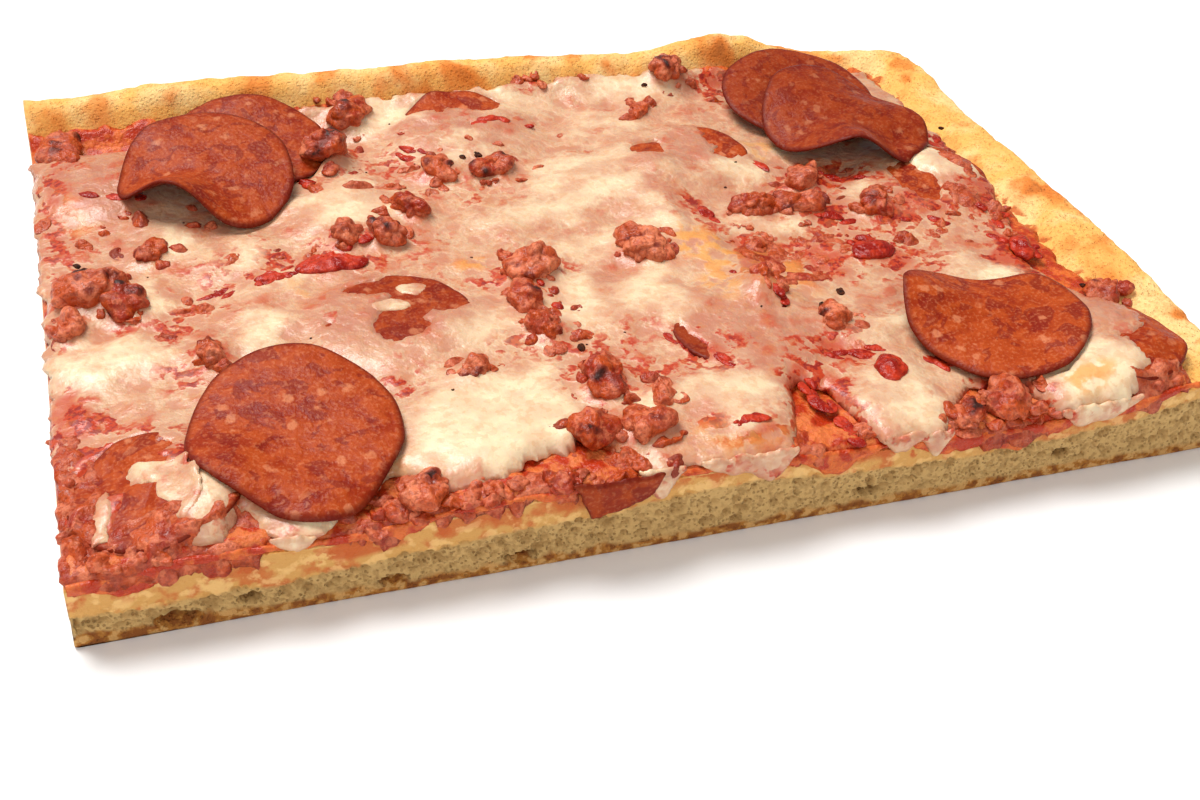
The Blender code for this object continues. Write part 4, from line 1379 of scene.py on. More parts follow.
@dataclass
class Cheese(Piece):
    """The layer of cheese: thin and greasy, with its ragged edges and lumps under it."""

    name: str = "cheese_layer"
    slot: Slot = Slot.CHEESE
    replaced: tuple[str, ...] = ("cheese",)
    lip: float = 2.3
    pool: float = 1.0
    lump: float = 0.9
    veil: float = 0.5

    def outline(self, u: Array, v: Array, step: float) -> Array:
        """Return the distance in from the edge of the cheese."""
        ragged = 1.3 * NOISE.rough(u, v, 61, 5, 4) + 0.3 * NOISE.waves(u, v, 62, 1.8)
        front = v - line(u, CHEESE_FRONT)
        inside = np.minimum.reduce([front + ragged, line(v, CHEESE_RIGHT) - u + ragged,
                                    line(u, CHEESE_BACK) - v + ragged, u + HALF_WIDTH - 0.2 + 0.8 * ragged])
        return level_set(inside, step)

    def masks(self, u: Array, v: Array, slices: Array) -> dict[str, Array]:
        """Return the colour masks at points, with how much of a slice lies under them."""
        wander = 0.25 * NOISE.rough(u, v, 65, 10, 4)
        return {
            "cream": np.clip(spread(u, v, CREAM, 4) + 0.5 * wander, 0, 1.1),
            "stain": np.clip(spread(u, v, STAINED, 4) + 0.3 * NOISE.rough(u, v, 66, 8, 4) + 0.08, 0, 1),
            "mauve": np.clip(spread(u, v, MAUVE, 4) + 0.7 * slices + wander, 0, 1),
            "gold": np.clip(spread(u, v, GOLDEN, 3) + 0.3 * NOISE.waves(u, v, 67, 14) - 0.12, 0, 1),
        }

    def buried(self, u: Array, v: Array) -> Array:
        """Return the low lumps of meat under the thin cheese, from 0 to 1."""
        bent_u = u + 1.3 * NOISE.rough(u, v, 46, 5, 3)
        bent_v = v + 1.3 * NOISE.rough(u, v, 47, 5, 3)
        near, _, luck = NOISE.cells(bent_u, bent_v, 0, 6.0)
        small, _, small_luck = NOISE.cells(bent_u, bent_v, 3, 3.0)
        wide = np.clip(1 - (near / 0.62) ** 2, 0, 1) * ease((luck - 0.3) / 0.3)
        return np.clip(wide * (0.6 + 0.4 * np.clip(1 - (small / 0.7) ** 2, 0, 1))
                       + 0.5 * np.clip(1 - (small / 0.55) ** 2, 0, 1) * ease((small_luck - 0.6) / 0.2), 0, 1)

    def surface(self, ground: Ground, thick: Array, lumps: Array) -> Array:
        """Return the height of the cheese over the ground's grid.

        Args:
            ground: the CAD surfaces.
            thick: where from 0 to 1 the cheese is thick.
            lumps: the meat under it.

        Returns:
            The heights, above the covered slices and below the open ones.
        """
        u, v = ground.grid.u, ground.grid.v
        thin = 1 - 0.85 * thick
        rise = ground.lump_rise
        climb = 1.3 * np.clip(blur(rise, 4), 0, 2.4)
        high = ground.cheese_top + np.where(rise > 0, np.minimum(climb, 0.5 * rise), climb)
        high += self.pool * thick * (1 - 0.7 * ease(blur(rise, 3))) + self.lump * lumps * thin
        high += 0.3 * NOISE.rough(u, v, 63, 9, 3) + 0.16 * thin * NOISE.rough(u, v, 64, 2.6, 2)
        fold = 1 - np.abs(NOISE.waves(u, v, 68, 10) + 0.4 * NOISE.waves(u, v, 69, 4))
        high += 0.35 * np.clip(fold - 0.55, 0, 1) * (0.4 + thick)
        bare = spread(u, v, BARE, 1.5)
        covered = ground.covered_top > 0
        shown = ease((bare - 0.2 + 0.3 * NOISE.rough(u, v, 44, 4.5, 4)) / 0.3)
        over = np.maximum(high + 1.3 * ground.swell * (1 - blur(shown, 6)), ground.covered_top + self.veil)
        over = np.maximum(blur(over, 5), ground.covered_top + 0.3)
        under = np.minimum(high, ground.covered_top - 0.5)
        high = np.where(covered, over * (1 - shown) + under * shown, over)
        hidden = ~np.isnan(ground.slice_top) & ~covered
        return np.where(hidden, np.minimum(high, ground.slice_top - 1.2), high)

    def build(self, ground: Ground, material: Material) -> None:
        """Make the layer and keep its upper surface for what lies on it."""
        grid = ground.grid
        u, v = grid.u, grid.v
        inside = self.outline(u, v, grid.step)
        pools = spread(u, v, [patch._replace(weight=1.0) for patch in CREAM], 4)
        thick = ease(1.25 * pools + 0.55 * NOISE.rough(u, v, 41, 7, 4) - 0.05)
        lumps = self.buried(u, v)
        high = self.surface(ground, thick, lumps)
        high -= 0.8 * np.exp(-np.clip(inside, 0, None) / 1.6) * (v < -60)
        low = np.minimum(ground.cheese_low, high - 0.4)
        layer = Layer(grid, inside)
        masks = self.masks(u, v, 0.45 * ground.covered * (1 + NOISE.rough(u, v, 45, 9, 3)))
        masks["cream"] = blur(thick * np.clip(0.1 + 0.8 * masks["cream"], 0, 1), 4)
        meat = ease(1.4 * lumps * (1 - thick) - 0.1) + ease(blur(ground.lump_rise, 3) / 2)
        masks["lump"] = np.clip(meat, 0, 1)
        self.add_layer(layer, layer.solid(low, high, self.lip, 0.2), material, masks)
        ground.melt_top = high


@dataclass
class Smears(Cheese):
    """The cheese that runs over parts of the open slices."""

    name: str = "cheese_smears"
    replaced: tuple[str, ...] = ()
    step: float = 0.6
    thickness: float = 0.3

    def build(self, ground: Ground, material: Material) -> None:
        """Make the smears."""
        grid = Grid(-HALF_WIDTH, 20, -HALF_DEPTH - 2, 72, self.step)
        u, v = grid.u, grid.v
        inside = level_set(spread(u, v, SMEARS, 2) - 0.4 + 0.25 * NOISE.rough(u, v, 48, 4, 3), grid.step)
        slices = np.where(np.isnan(ground.slice_top), -SKY, ground.slice_top)
        lying = ground.read(np.maximum(blur(np.maximum(ground.melt_top, slices), 2), slices), u, v)
        high = lying + self.thickness * (1 + 0.3 * NOISE.waves(u, v, 43, 5))
        layer = Layer(grid, inside)
        shape = layer.solid(lying - 0.5, np.maximum(high, lying + 0.1), 1.6, 0.35)
        self.add_layer(layer, shape, material, {
            "cream": 0.25 + 0.4 * NOISE.rough(u, v, 40, 6, 3),
            "stain": 0.2 + 0.4 * NOISE.rough(u, v, 49, 5, 3)})


@dataclass
class Drips(Piece):
    """The cheese that runs down the front cut."""

    name: str = "cheese_drips"
    slot: Slot = Slot.CHEESE
    step: float = 0.45
    out: float = 0.8
    thickness: float = 0.8
    start: float = 3.0

    def build(self, ground: Ground, material: Material) -> None:
        """Make the drips."""
        grid = Grid(-HALF_WIDTH + 1, 100, 4, 20, self.step)
        x, z = grid.u, grid.v
        brink = ground.read(ground.sauce_top, x, np.full(x.shape, -HALF_DEPTH + 0.8)) + 0.4
        drip = -self.start + 0.7 * NOISE.rough(x, 0, 85, 4, 3)
        for middle, half, length in CHEESE_DRIPS:
            drip = drip + length * np.exp(-((x - middle) / half) ** 2)
        top = brink + 1.6 + 0.8 * NOISE.rough(x, 0, 89, 3, 2)
        inside = level_set(np.minimum.reduce([z - brink + drip, top - z, drip + 0.8]), grid.step)
        layer = Layer(grid, inside)
        relief = 0.25 * NOISE.rough(x, z, 86, 3, 2)
        points, faces, places = layer.solid(np.full(x.shape, self.out - 0.5),
                                            self.out + self.thickness + relief, 1.8, 0.3)
        self.add_layer(layer, (stand_up(points), faces, places), material, {
            "cream": 0.4 + 0.4 * NOISE.rough(x, z, 87, 5, 3),
            "stain": 0.35 + 0.4 * NOISE.rough(x, z, 88, 4, 3)})


class Curl(NamedTuple):
    """A part of a slice's edge that bends: its way in degrees, half width in radii, lift and pull inward."""

    way: float
    half_width: float
    lift: float
    pull: float


CURLS: dict[str, tuple[Curl, ...]] = {
    "11": (Curl(-118, 0.55, 4.6, 3.5), Curl(-25, 0.5, -1.2, 0.0), Curl(170, 0.4, -1.5, 0.0)),
    "12": (Curl(-97, 0.36, 4.2, 1.5), Curl(-150, 0.4, -1.2, 0.0), Curl(-45, 0.45, -1.8, 0.0),
           Curl(35, 0.75, -3.0, 5.5)),
    "14": (Curl(72, 0.55, -2.0, 5.5), Curl(150, 0.4, 2.6, 0.0), Curl(-60, 0.5, 0.8, 0.0)),
    "13": (Curl(-128, 0.5, 0.6, 3.5), Curl(-38, 0.5, 0.5, 2.2), Curl(60, 0.8, 0.8, 0.0)),
    "10": (Curl(120, 0.6, 1.6, 1.0),),
    "09": (Curl(80, 0.7, 2.2, 1.0),),
}


# Painted shade: how much darker than the front slice some others are painted, from 0 to 1
PAINTED_SHADES: dict[str, float] = {"12": 0.5, "10": 0.5, "09": 0.14, "11": 0.14, "13": 0.06, "01": 0.3, "07": 0.6}


@dataclass
class PepperoniSlice(Piece):
    """One slice, shaped by its CAD node, with a finer rim and surface."""

    slot: Slot = Slot.PEPPERONI
    bearings: int = 84
    rings: tuple[float, ...] = (0.06, 0.13, 0.2, 0.27, 0.34, 0.41, 0.48, 0.55, 0.62, 0.68, 0.74, 0.8, 0.85,
                                0.89, 0.925, 0.955, 0.978, 0.993, 1.0)
    search_steps: int = 9
    thickness: float = 1.35
    curls: tuple[Curl, ...] = ()
    painted_shade: float = 0.0

    def outline(self, shape: Relief, middle: Array, ways: Array) -> Array:
        """Return how far the slice reaches from its middle towards each way."""
        widest = np.hypot(*(shape.points[:, :2] - middle).T).max()
        low, high = np.zeros(len(ways)), np.full(len(ways), widest * 1.02)
        for _ in range(self.search_steps):
            half = (low + high) / 2
            there = middle + ways * half[:, None]
            found = ~np.isnan(shape.feel(there[:, 0], there[:, 1]))
            low, high = np.where(found, half, low), np.where(found, high, half)
        return low

    def bend(self, reach: Array, angles: Array,
             shares: Array) -> tuple[Array, Array, Array]:
        """Return how far the curls lift the slice's points and shift them along x and y."""
        radius = reach.mean()
        away = np.outer(shares, reach) / radius
        lift, shift_x, shift_y = (np.zeros(away.shape) for _ in range(3))
        for curl in self.curls:
            way = math.radians(curl.way)
            ahead, aside = away * np.cos(angles - way), away * np.sin(angles - way)
            share = ease((ahead - 0.1) / 0.95) * np.exp(-(aside / curl.half_width) ** 2)
            lift += curl.lift * share
            shift_x -= curl.pull * share * math.cos(way)
            shift_y -= curl.pull * share * math.sin(way)
        return lift, shift_x, shift_y

    def build(self, ground: Ground, material: Material) -> None:
        """Make the slice: its outline, its curls and its edge, and then its surface."""
        shape = Relief([ground.nodes[self.replaced[0]]])
        middle = (shape.points[:, :2].min(0) + shape.points[:, :2].max(0)) / 2
        angles = np.linspace(0, math.tau, self.bearings, endpoint=False)
        ways = np.stack([np.cos(angles), np.sin(angles)], 1)
        reach = self.outline(shape, middle, ways)
        padded = np.concatenate([reach[-3:], reach, reach[:3]])
        reach = np.convolve(padded, [0.1, 0.2, 0.4, 0.2, 0.1], "same")[3:-3]
        reach = reach * (1 + 0.006 * NOISE.waves(angles * 6, middle[0], middle[1], 1.0))
        shares = np.array(self.rings)
        felt = np.minimum(shares, 0.965)
        x = middle[0] + np.outer(felt, reach * ways[:, 0])
        y = middle[1] + np.outer(felt, reach * ways[:, 1])
        top, low = shape.feel(x, y), shape.feel(x, y, True)
        top, low = (np.where(np.isnan(values), np.nanmean(values), values) for values in (top, low))
        wrap = 6
        for _ in range(2):
            wrapped = (np.concatenate([values[:, -wrap:], values, values[:, :wrap]], 1)
                       for values in (top, low))
            top, low = (blur(values, 2)[:, wrap:-wrap] for values in wrapped)
        low = np.maximum(low, top - self.thickness)
        lift, shift_x, shift_y = self.bend(reach, angles, shares)
        top, low = top + lift, low + lift
        slope = (top[-1] - top[-6]) / (felt[-1] - shares[-6])
        top = top + np.outer(shares - felt, slope)
        low = low + np.outer(shares - felt, slope)
        x = middle[0] + np.outer(shares, reach * ways[:, 0]) + shift_x
        y = middle[1] + np.outer(shares, reach * ways[:, 1]) + shift_y
        if self.curls:
            sunk = np.maximum(ground.read(ground.melt_top, x, y) + 0.2 - low, 0)
            sunk = np.minimum(sunk * ease((shares - 0.5) / 0.3)[:, None], 2.0)
            top, low = top + sunk, low + sunk
        top = top + 0.1 * NOISE.rough(x, y, 91, 4.2, 3)
        pits = NOISE.cells(x, y, 5, 4.2)[0]
        top = top - 0.16 * np.clip(1 - pits / 0.3, 0, 1)
        rounding = np.clip((shares - 0.95) / 0.05, 0, 1)[:, None]
        half = (top - low) / 2
        sunk = half * (1 - np.sqrt(1 - rounding ** 2))
        top, low = top - sunk, low + sunk
        rings, count = len(shares), self.bearings
        centre = [[middle[0], middle[1], top[0].mean()], [middle[0], middle[1], low[0].mean()]]
        upper = np.stack([x, y, top], -1).reshape(-1, 3)
        lower = np.stack([x, y, low], -1)[:-1].reshape(-1, 3)
        points = np.concatenate([centre, upper, lower])
        ring = 2 + np.arange(rings * count).reshape(rings, count)
        under = 2 + rings * count + np.arange((rings - 1) * count).reshape(rings - 1, count)
        under = np.concatenate([under, ring[-1:]])
        faces: Faces = []
        over, below = ring.tolist(), under.tolist()
        for side in range(count):
            after = (side + 1) % count
            faces += [(0, over[0][side], over[0][after]), (1, below[0][after], below[0][side])]
            for inner, outer, low_inner, low_outer in zip(over, over[1:], below, below[1:]):
                faces += [(inner[side], outer[side], outer[after], inner[after]),
                          (low_inner[side], low_inner[after], low_outer[after], low_outer[side])]
        rim = np.repeat(ease((shares - 0.93) / 0.06), count)
        # Painted shade: the top darkened by the slice's painted shade, the underside fully
        shade = [[self.painted_shade, 1], np.full(rings * count, self.painted_shade), np.ones((rings - 1) * count)]
        self.add(points, faces, material, {"rim": np.concatenate([[0, 0], rim, rim[:-count]]),
                                           "shade": np.concatenate(shade)})


@dataclass
class HangingSlice(Piece):
    """The end of a slice that hangs over the front cut."""

    name: str = "pepperoni_piece_15"
    slot: Slot = Slot.PEPPERONI
    replaced: tuple[str, ...] = ("pepperoni_15",)
    corners: tuple[tuple[float, float], ...] = ((-25.5, 11.2), (-14.5, 14.0), (-11.5, 19.4), (-28.5, 19.4))
    face: float = 1.9
    # Painted shade over the flap that hangs over the front cut
    shade: float = 0.35

    def build(self, ground: Ground, material: Material) -> None:
        """Make the flap."""
        grid = Grid(-31, -9, 9, 21, 0.4)
        x, z = grid.u, grid.v
        inside = np.full(x.shape, SKY)
        for (x0, z0), (x1, z1) in zip(self.corners, self.corners[1:] + self.corners[:1]):
            length = math.hypot(x1 - x0, z1 - z0)
            inside = np.minimum(inside, ((x1 - x0) * (z - z0) - (z1 - z0) * (x - x0)) / length)
        inside = inside + 0.35 * NOISE.rough(x, z, 51, 2.5, 2)
        layer = Layer(grid, inside)
        wave = 0.3 * NOISE.rough(x, z, 52, 4, 2)
        points, faces, places = layer.solid(self.face - 0.2 + wave, self.face + 0.9 + wave, 0.8, 0.5)
        rim = ease(1 - layer.read(inside)[places] / 0.8)
        self.add(stand_up(points), faces, material, {"rim": rim, "shade": np.full(len(points), self.shade)})


@dataclass
class Mince(Piece):
    """Crumbly meat and sauce in a thin bed, past the edges of the cheese."""

    name: str = "meat_bed"
    slot: Slot = Slot.SAUSAGE
    step: float = 0.6
    thickness: float = 0.7

    def build(self, ground: Ground, material: Material) -> None:
        """Make the bed."""
        grid = Grid(-HALF_WIDTH - 1.5, 106, -HALF_DEPTH - 3, 6, self.step)
        u, v = grid.u, grid.v
        rugged = 0.3 * NOISE.rough(u, v, 31, 6, 4)
        front = v + HALF_DEPTH + 1.1 + 0.9 * NOISE.rough(u, v, 32, 5, 3)
        inside = level_set(spread(u, v, MINCE, 2) - 0.4 + rugged, grid.step)
        inside = np.minimum.reduce([inside, front, u + HALF_WIDTH + 0.3 + 0.8 * NOISE.waves(u, v, 33, 4)])
        base = ground.read(np.maximum(ground.sauce_top, ground.covered_top), u, v)
        base = np.where(v > -60, np.maximum(base, ground.read(ground.melt_top, u, v) - 0.3), base)
        near, second, luck = NOISE.cells(0.7 * u + 4 * rugged, v + 3 * NOISE.rough(u, v, 37, 6, 3), 8, 5.2)
        small, small_second, _ = NOISE.cells(u + 2 * rugged, v - 2 * rugged, 9, 2.2)
        granule = ease((second - near) / 0.5) * (0.6 + 0.8 * luck)
        fine = np.clip((small_second - small) / 0.4, 0, 1)
        high = base + self.thickness * (0.1 + 0.9 * granule) + 0.12 * fine + 0.8 * NOISE.rough(u, v, 34, 7, 3)
        opened = ground.read(np.where(ground.opened > 0.3, ground.slice_top, np.nan), u, v)
        high = np.fmin(high, opened - 1.4)
        over = np.clip(-HALF_DEPTH - v + 0.4, 0, 3)
        high -= 1.2 * over
        layer = Layer(grid, inside)
        low = base - 0.6 - 2.2 * over
        # The crevice mask is how low each point lies between the granules, for the painted shade there
        self.add_layer(layer, layer.solid(low, np.maximum(high, low + 0.3), 1.1, 0.3), material, {
            "char": 0.8 * ease(NOISE.rough(u, v, 35, 6, 3) - 0.55),
            "tint": np.clip(0.5 + 1.3 * NOISE.rough(u, v, 36, 5, 4), 0, 1),
            "crevice": 0.8 - 0.8 * np.clip(granule * (0.5 + 0.5 * fine), 0, 1)})


class Ball:
    """The points and faces of an even ball of radius 1, with each point's neighbours."""

    def __init__(self, subdivisions: int) -> None:
        """Divide an icosahedron."""
        shape = bmesh.new()
        bmesh.ops.create_icosphere(shape, subdivisions=subdivisions, radius=1)
        self.points = np.array([vertex.co for vertex in shape.verts])
        self.faces: Faces = [tuple(vertex.index for vertex in face.verts) for face in shape.faces]
        self.edges = np.array([[vertex.index for vertex in edge.verts] for edge in shape.edges])
        shape.free()

    def soften(self, values: Array, passes: int) -> Array:
        """Average values with their neighbours along the edges."""
        for _ in range(passes):
            total = values.copy()
            count = np.ones(len(values))
            for first, second in (self.edges.T, self.edges[:, ::-1].T):
                np.add.at(total, first, values[second])
                np.add.at(count, first, 1)
            values = total / count
        return values


class Heap:
    """Many balls of one piece, gathered into one mesh."""

    def __init__(self) -> None:
        """Start with none."""
        self.points: list[Array] = []
        self.faces: Faces = []
        self.masks: dict[str, list[Array]] = {}
        self.count = 0

    def put(self, ball: Ball, points: Array, **masks: Array | float) -> None:
        """Put in one ball with its moved points.

        Args:
            ball: the ball that gives the faces.
            points: its points.
            masks: values at the points, or one for all of them.
        """
        self.faces += [tuple(index + self.count for index in face) for face in ball.faces]
        self.points.append(points)
        self.count += len(points)
        for key, values in masks.items():
            self.masks.setdefault(key, []).append(np.broadcast_to(values, len(points)))

    def add_to(self, piece: Piece, material: Material) -> None:
        """Make a piece from everything in the heap."""
        masks = {key: np.concatenate(values) for key, values in self.masks.items()}
        piece.add(np.concatenate(self.points), self.faces, material, masks)


def granulate(points: Array, ways: Array, size: float, depth: float,
              seed: float) -> tuple[Array, Array]:
    """Break a smooth lump into granules like minced meat.

    Args:
        points: the lump's points.
        ways: the outward direction at each.
        size: the granules' size.
        depth: how deep the crevices between them are.
        seed: moves the pattern, so that no two lumps are alike.

    Returns:
        The moved points, and how deep in a crevice each is, from 0 to 1, which the finish darkens as painted
        shade.
    """
    x, y, z = points.T
    bend = [0.3 * size * NOISE.waves(x + shift, y + seed, z, size) for shift in (0, 41, 83)]
    near, second, _ = NOISE.cells(x + bend[0] + seed, y + bend[1], z + bend[2], size)
    crevice = np.clip((second - near) / 0.4, 0, 1)
    fine_near, fine_second, _ = NOISE.cells(x + bend[1], y + bend[2] + seed, z, size * 0.4)
    fine = np.clip((fine_second - fine_near) / 0.4, 0, 1)
    broken = np.clip(0.55 + 1.1 * NOISE.waves(x, y + seed, z, size * 1.5), 0.15, 1.3)
    push = depth * broken * (crevice - 0.8) + 0.2 * depth * (fine - 0.7)
    push += 1.9 * depth * NOISE.rough(x, y, z + seed, size * 1.6, 3)
    return points + ways * push[:, None], (1 - crevice) * np.clip(broken, 0, 1)


@dataclass
class Crumbles(Piece):
    """Lumps shaped by their CAD nodes and broken into granules."""

    detail: int = 5
    size: float = 4.2
    depth: float = 0.8
    tint: float = 0.6
    wider: float = 1.12

    def build(self, ground: Ground, material: Material) -> None:
        """Make every lump and join them."""
        ball, heap = Ball(self.detail), Heap()
        for number, name in enumerate(self.replaced):
            shape = Relief([ground.nodes[name]])
            centre = shape.points.mean(0)
            reach = shape.reach(Vector(centre), ball.points, 2.0)
            reach = ball.soften(reach, 3)
            skew = 0.14 * math.sin(number * 1.9)
            lump = centre + ball.points * reach[:, None] * (self.wider + skew, self.wider - skew, 1.0)
            lump, crevice = granulate(lump, ball.points, self.size, self.depth, number * 7.3)
            burn = NOISE.rough(lump[:, 0], lump[:, 1], lump[:, 2] + 9, 5, 2)
            high = ease((lump[:, 2] - centre[2]) / 3 + 0.1)
            luck = 0.5 + 0.5 * math.sin(number * 3.7)
            veiled = 0.8 * ease(NOISE.rough(lump[:, 0], lump[:, 1], lump[:, 2] + 5, 6, 2) + 0.6 - high)
            heap.put(ball, lump, char=ease(burn * 1.1 - 0.35 + 0.2 * high + 0.35 * luck),
                     tint=np.clip(self.tint * (0.5 + 0.5 * math.sin(number * 2.4)) ** 2 * 2 + veiled, 0, 1.2),
                     crevice=crevice)
        heap.add_to(self, material)


class Region(NamedTuple):
    """An area that small lumps are strewn over: its middle, half lengths, and how many."""

    x: float
    y: float
    half_x: float
    half_y: float
    count: int


CRUMBS = tuple(Region(*row) for row in (
    (-35, 38, 20, 14, 16), (-18, -20, 6, 18, 16), (-28, -40, 14, 8, 7), (45, 5, 14, 10, 9),
    (38, -20, 10, 12, 9), (-60, 4, 20, 5, 10), (-92, -14, 10, 9, 7), (84, -10, 9, 12, 8),
    (-14, -60, 9, 10, 9), (40, 58, 14, 8, 7), (-45, 68, 8, 4, 4), (5, 68, 14, 4, 6), (-88, 30, 14, 12, 6),
    (62, -72, 7, 4, 7), (8, -10, 7, 7, 5), (-5, 38, 12, 8, 5), (60, 8, 12, 8, 10), (72, -10, 10, 8, 8),
    (94, 2, 3, 22, 8), (-100, 20, 8, 12, 5),
))
# Crumbs along the front cut: from x, to x, and how many
FRONT_CRUMBS = (
    (-112, -97, 9), (-68, -52, 10), (-50, -26, 14), (-24, -8, 8), (-6, 16, 7), (44, 66, 12), (66, 92, 6),
    (28, 42, 5),
)


@dataclass
class Bits(Piece):
    """Small crumbs of sausage strewn over the cheese and along the front."""

    name: str = "sausage_bits"
    slot: Slot = Slot.SAUSAGE
    seed: int = 21
    regions: tuple[Region, ...] = CRUMBS
    strips: tuple[tuple[float, float, int], ...] = FRONT_CRUMBS
    left_count: int = 16
    near_count: int = 2
    fine_from: float = 1.8

    def spots(self, ground: Ground) -> list[tuple[float, float, float, float]]:
        """Return a place and size for each crumb."""
        draw = np.random.default_rng(self.seed)
        found = []
        for region in self.regions:
            for _ in range(region.count):
                x = region.x + region.half_x * draw.uniform(-1, 1)
                y = region.y + region.half_y * draw.uniform(-1, 1)
                size = 0.8 + 1.7 * draw.random() ** 1.5
                z = float(ground.read(ground.melt_top, x, y)) + size * draw.uniform(-0.5, -0.05)
                found.append((x, y, z, size))
        for _ in range(self.left_count):
            x = -HALF_WIDTH + draw.uniform(1.4, 4.0)
            y = draw.uniform(-74, 60)
            size = draw.uniform(0.8, 2.0)
            z = float(ground.read(ground.cheese_top, x, y)) + draw.uniform(-2.6, 0.4)
            found.append((x, y, z, size))
        for x, y, radius in ground.lump_spots:
            for _ in range(self.near_count):
                turn, away = draw.uniform(0, math.tau), radius * draw.uniform(0.9, 1.7)
                place = (max(x + away * math.cos(turn), INSIDE_LEFT),
                         max(y + away * math.sin(turn), INSIDE_FRONT))
                size = draw.uniform(0.9, 2.1)
                found.append((*place, float(ground.read(ground.melt_top, *place)) - 0.2 * size, size))
        for low, high, count in self.strips:
            for _ in range(count):
                x = draw.uniform(low, high)
                y = -HALF_DEPTH + draw.uniform(0.3, 4)
                size = draw.uniform(1.2, 2.3)
                z = float(ground.read(ground.sauce_top, x, y)) + draw.uniform(-0.8, 0.8)
                found.append((x, y, z, size))
        return found

    def build(self, ground: Ground, material: Material) -> None:
        """Make the crumbs and join them."""
        coarse, fine, heap = Ball(3), Ball(4), Heap()
        draw = np.random.default_rng(self.seed + 1)
        for number, (x, y, z, size) in enumerate(self.spots(ground)):
            ball = fine if size > self.fine_from else coarse
            squash = np.array([draw.uniform(0.9, 1.9), draw.uniform(0.7, 1.1), draw.uniform(0.5, 0.8)]) * size
            turn = np.array(Matrix.Rotation(draw.uniform(0, math.tau), 3, "Z"))
            lump = (ball.points * squash) @ turn.T + (x, y, z)
            lump, crevice = granulate(lump, ball.points, size * 1.2, size * 0.34, number * 3.9)
            heap.put(ball, lump, char=draw.random() ** 3 * 0.5, tint=draw.random(), crevice=crevice)
        heap.add_to(self, material)


@dataclass
class Shreds(Piece):
    """Thin wet shreds and bits of tomato in the cheese."""

    name: str = "tomato_shreds"
    slot: Slot = Slot.TOMATO
    seed: int = 8

    def build(self, ground: Ground, material: Material) -> None:
        """Make the shreds along their lines and join them."""
        ball, heap = Ball(3), Heap()
        draw = np.random.default_rng(self.seed)
        for (x0, y0), (x1, y1), count, width in SHRED_LINES:
            way = math.atan2(y1 - y0, x1 - x0)
            for _ in range(count):
                share = draw.random()
                x = x0 + (x1 - x0) * share + draw.uniform(-1, 1) * width
                y = y0 + (y1 - y0) * share + draw.uniform(-1, 1) * width
                x, y = max(x, INSIDE_LEFT), max(y, INSIDE_FRONT)
                size = draw.uniform(0.8, 1.9)
                shape = ball.points * (size * draw.uniform(1.0, 2.4), size * 0.8, 0.5)
                shape[:, 1] += 0.1 * draw.uniform(-1, 1) * shape[:, 0] ** 2
                turn = np.array(Matrix.Rotation(way + draw.uniform(-0.5, 0.5), 3, "Z"))
                z = float(ground.read(ground.melt_top, x, y)) - 0.15
                placed = shape @ turn.T + (x, y, z)
                heap.put(ball, granulate(placed, ball.points, 2.2, 0.24, float(len(heap.points)))[0])
        heap.add_to(self, material)


@dataclass
class Flecks(Piece):
    """Burnt specks on the sausage and a few on the cheese."""

    name: str = "burnt_flecks"
    slot: Slot = Slot.SAUSAGE
    seed: int = 5
    loose: int = 22

    def build(self, ground: Ground, material: Material) -> None:
        """Make the specks and join them."""
        ball, heap = Ball(2), Heap()
        draw = np.random.default_rng(self.seed)
        spots = [(x, y, draw.uniform(0.6, 0.9)) for x, y in FLECK_SPOTS]
        spots += [(draw.uniform(-105, 92), draw.uniform(-70, 64), draw.uniform(0.2, 0.35))
                  for _ in range(self.loose)]
        for x, y, size in spots:
            height = float(ground.read(ground.melt_top + 0.8 * ground.lump_rise, x, y))
            shape = ball.points * (size * draw.uniform(0.9, 1.6), size, size * 0.6)
            turn = np.array(Matrix.Rotation(draw.uniform(0, math.tau), 3, "Z"))
            placed = shape @ turn.T + (x, y, height)
            heap.put(ball, granulate(placed, ball.points, size, size * 0.3, float(len(heap.points)))[0])
        heap.add_to(self, material)


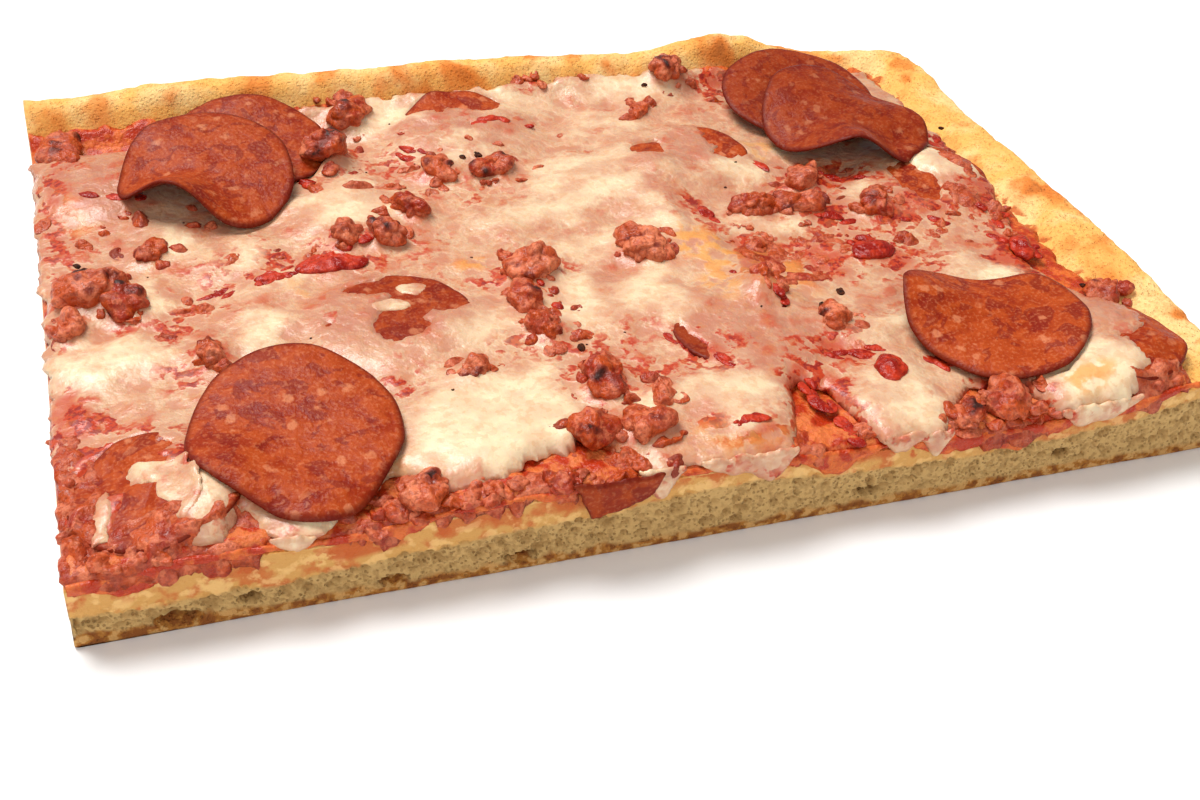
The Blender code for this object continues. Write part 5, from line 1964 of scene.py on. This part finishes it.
@dataclass
class Studio:
    """The pale floor, the soft lights and the camera at the photograph's angle."""

    lens: float = 48.0
    place: tuple[float, float, float] = (-96.816, -283.091, 195.653)
    yaw: float = 19.6238
    pitch: float = 36.4847
    roll: float = -3.4333
    sensor: float = 36.0
    floor_size: float = 6000.0
    floor_shade: float = 0.93
    surround: float = 0.26
    window: tuple[float, float, float] = (-280.0, 430.0, 1040.0)
    window_size: float = 640.0
    window_power: float = 8.7
    fill: tuple[float, float, float] = (-200.0, -900.0, 700.0)
    fill_size: float = 800.0
    fill_power: float = 5.2
    sky_strength: float = 1.6
    sky_width: float = math.radians(32)

    def build(self) -> None:
        """Add the floor, the lights and the camera."""
        self.add_floor()
        self.add_world()
        self.add_sky()
        self.add_lamp("window", self.window, self.window_size, self.window_power, (1.0, 0.985, 0.96))
        self.add_lamp("fill", self.fill, self.fill_size, self.fill_power, (1.0, 0.99, 0.97))
        self.add_camera()
        bpy.context.scene.view_settings.view_transform = "Standard"

    def add_floor(self) -> None:
        """Add the plain floor."""
        half = self.floor_size / 2 * MM
        mesh = bpy.data.meshes.new("floor")
        corners = [(-half, -half, 0), (half, -half, 0), (half, half, 0), (-half, half, 0)]
        mesh.from_pydata(corners, [], [(0, 1, 2, 3)])
        mesh.materials.append(Paint("floor_white", (self.floor_shade,) * 3).finish(0.9))
        show("floor", mesh)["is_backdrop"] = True

    def add_world(self) -> None:
        """Surround the scene with even white light."""
        world = bpy.data.worlds.new("studio")
        world.use_nodes = True
        background = world.node_tree.nodes["Background"]
        background.inputs["Color"].default_value = (1.0, 1.0, 1.0, 1.0)
        background.inputs["Strength"].default_value = self.surround
        bpy.context.scene.world = world

    def add_lamp(self, name: str, place: tuple[float, float, float], size: float, power: float,
                 colour: Colour) -> None:
        """Add one soft lamp that faces the piece."""
        data = bpy.data.lights.new(name, "AREA")
        data.energy = power
        data.size = size * MM
        data.color = colour
        lamp = show(name, data)
        lamp.location = Vector(place) * MM
        lamp.rotation_euler = (-lamp.location).to_track_quat("-Z", "Y").to_euler()

    def add_sky(self) -> None:
        """Add an even soft light from the side of the window, which keeps the far floor pale."""
        data = bpy.data.lights.new("sky", "SUN")
        data.energy = self.sky_strength
        data.angle = self.sky_width
        show("sky", data).rotation_euler = Vector(self.window).to_track_quat("Z", "Y").to_euler()

    def add_camera(self) -> None:
        """Add the camera, turned by its yaw, pitch and roll."""
        yaw, pitch, roll = (math.radians(angle) for angle in (self.yaw, self.pitch, self.roll))
        ahead = Vector((math.sin(yaw) * math.cos(pitch), math.cos(yaw) * math.cos(pitch), -math.sin(pitch)))
        level = Vector((math.cos(yaw), -math.sin(yaw), 0))
        down = ahead.cross(level)
        right = math.cos(roll) * level + math.sin(roll) * down
        below = -math.sin(roll) * level + math.cos(roll) * down
        data = bpy.data.cameras.new("camera")
        data.lens = self.lens
        data.sensor_width = self.sensor
        data.clip_start = 0.01
        camera = show("camera", data)
        turned = Matrix((right, -below, -ahead)).transposed().to_4x4()
        turned.translation = (Vector(self.place) + Vector((0, FRAME_SHIFT, 0))) * MM
        camera.matrix_world = turned
        bpy.context.scene.camera = camera


def main() -> None:
    """Build every piece round the frame, from the bread up."""
    logging.basicConfig(level=logging.INFO, format="%(message)s")
    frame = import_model()
    cad_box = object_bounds()
    ground = Ground(frame["nodes"])
    Studio().build()
    cheese = CheeseFinish().build()
    pepperoni = PepperoniFinish().build()
    sausage = SausageFinish().build()
    tomato = SauceFinish("tomato", linear(196, 52, 20), linear(150, 22, 8), shine=0.24).build()
    Bread().build(ground, BreadFinish().build())
    Sauce().build(ground, SauceFinish().build())
    Cheese().build(ground, cheese)
    Smears().build(ground, cheese)
    Drips().build(ground, cheese)
    for name in ground.slices[:-1]:
        number = name.split("_")[1]
        piece = PepperoniSlice(f"pepperoni_piece_{number}", replaced=(name,), curls=CURLS.get(number, ()),
                               painted_shade=PAINTED_SHADES.get(number, 0.0))
        piece.build(ground, pepperoni)
    HangingSlice().build(ground, pepperoni)
    Crumbles("sausage_crumbles", Slot.SAUSAGE, tuple(ground.lumps)).build(ground, sausage)
    Crumbles("tomato_pieces", Slot.TOMATO, tuple(ground.tomatoes), size=3.4, depth=0.3).build(ground, tomato)
    Bits().build(ground, sausage)
    Shreds().build(ground, tomato)
    Flecks().build(ground, FleckFinish().build())
    Mince().build(ground, sausage)
    {"cad": as_lists(cad_box), "visual": as_lists(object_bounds())}


def as_lists(box: object) -> object:
    """Turn a box of vectors into plain lists of numbers."""
    if isinstance(box, (int, float)):
        return float(box)
    return [as_lists(one) for one in box]


if __name__ == "__main__":
    main()
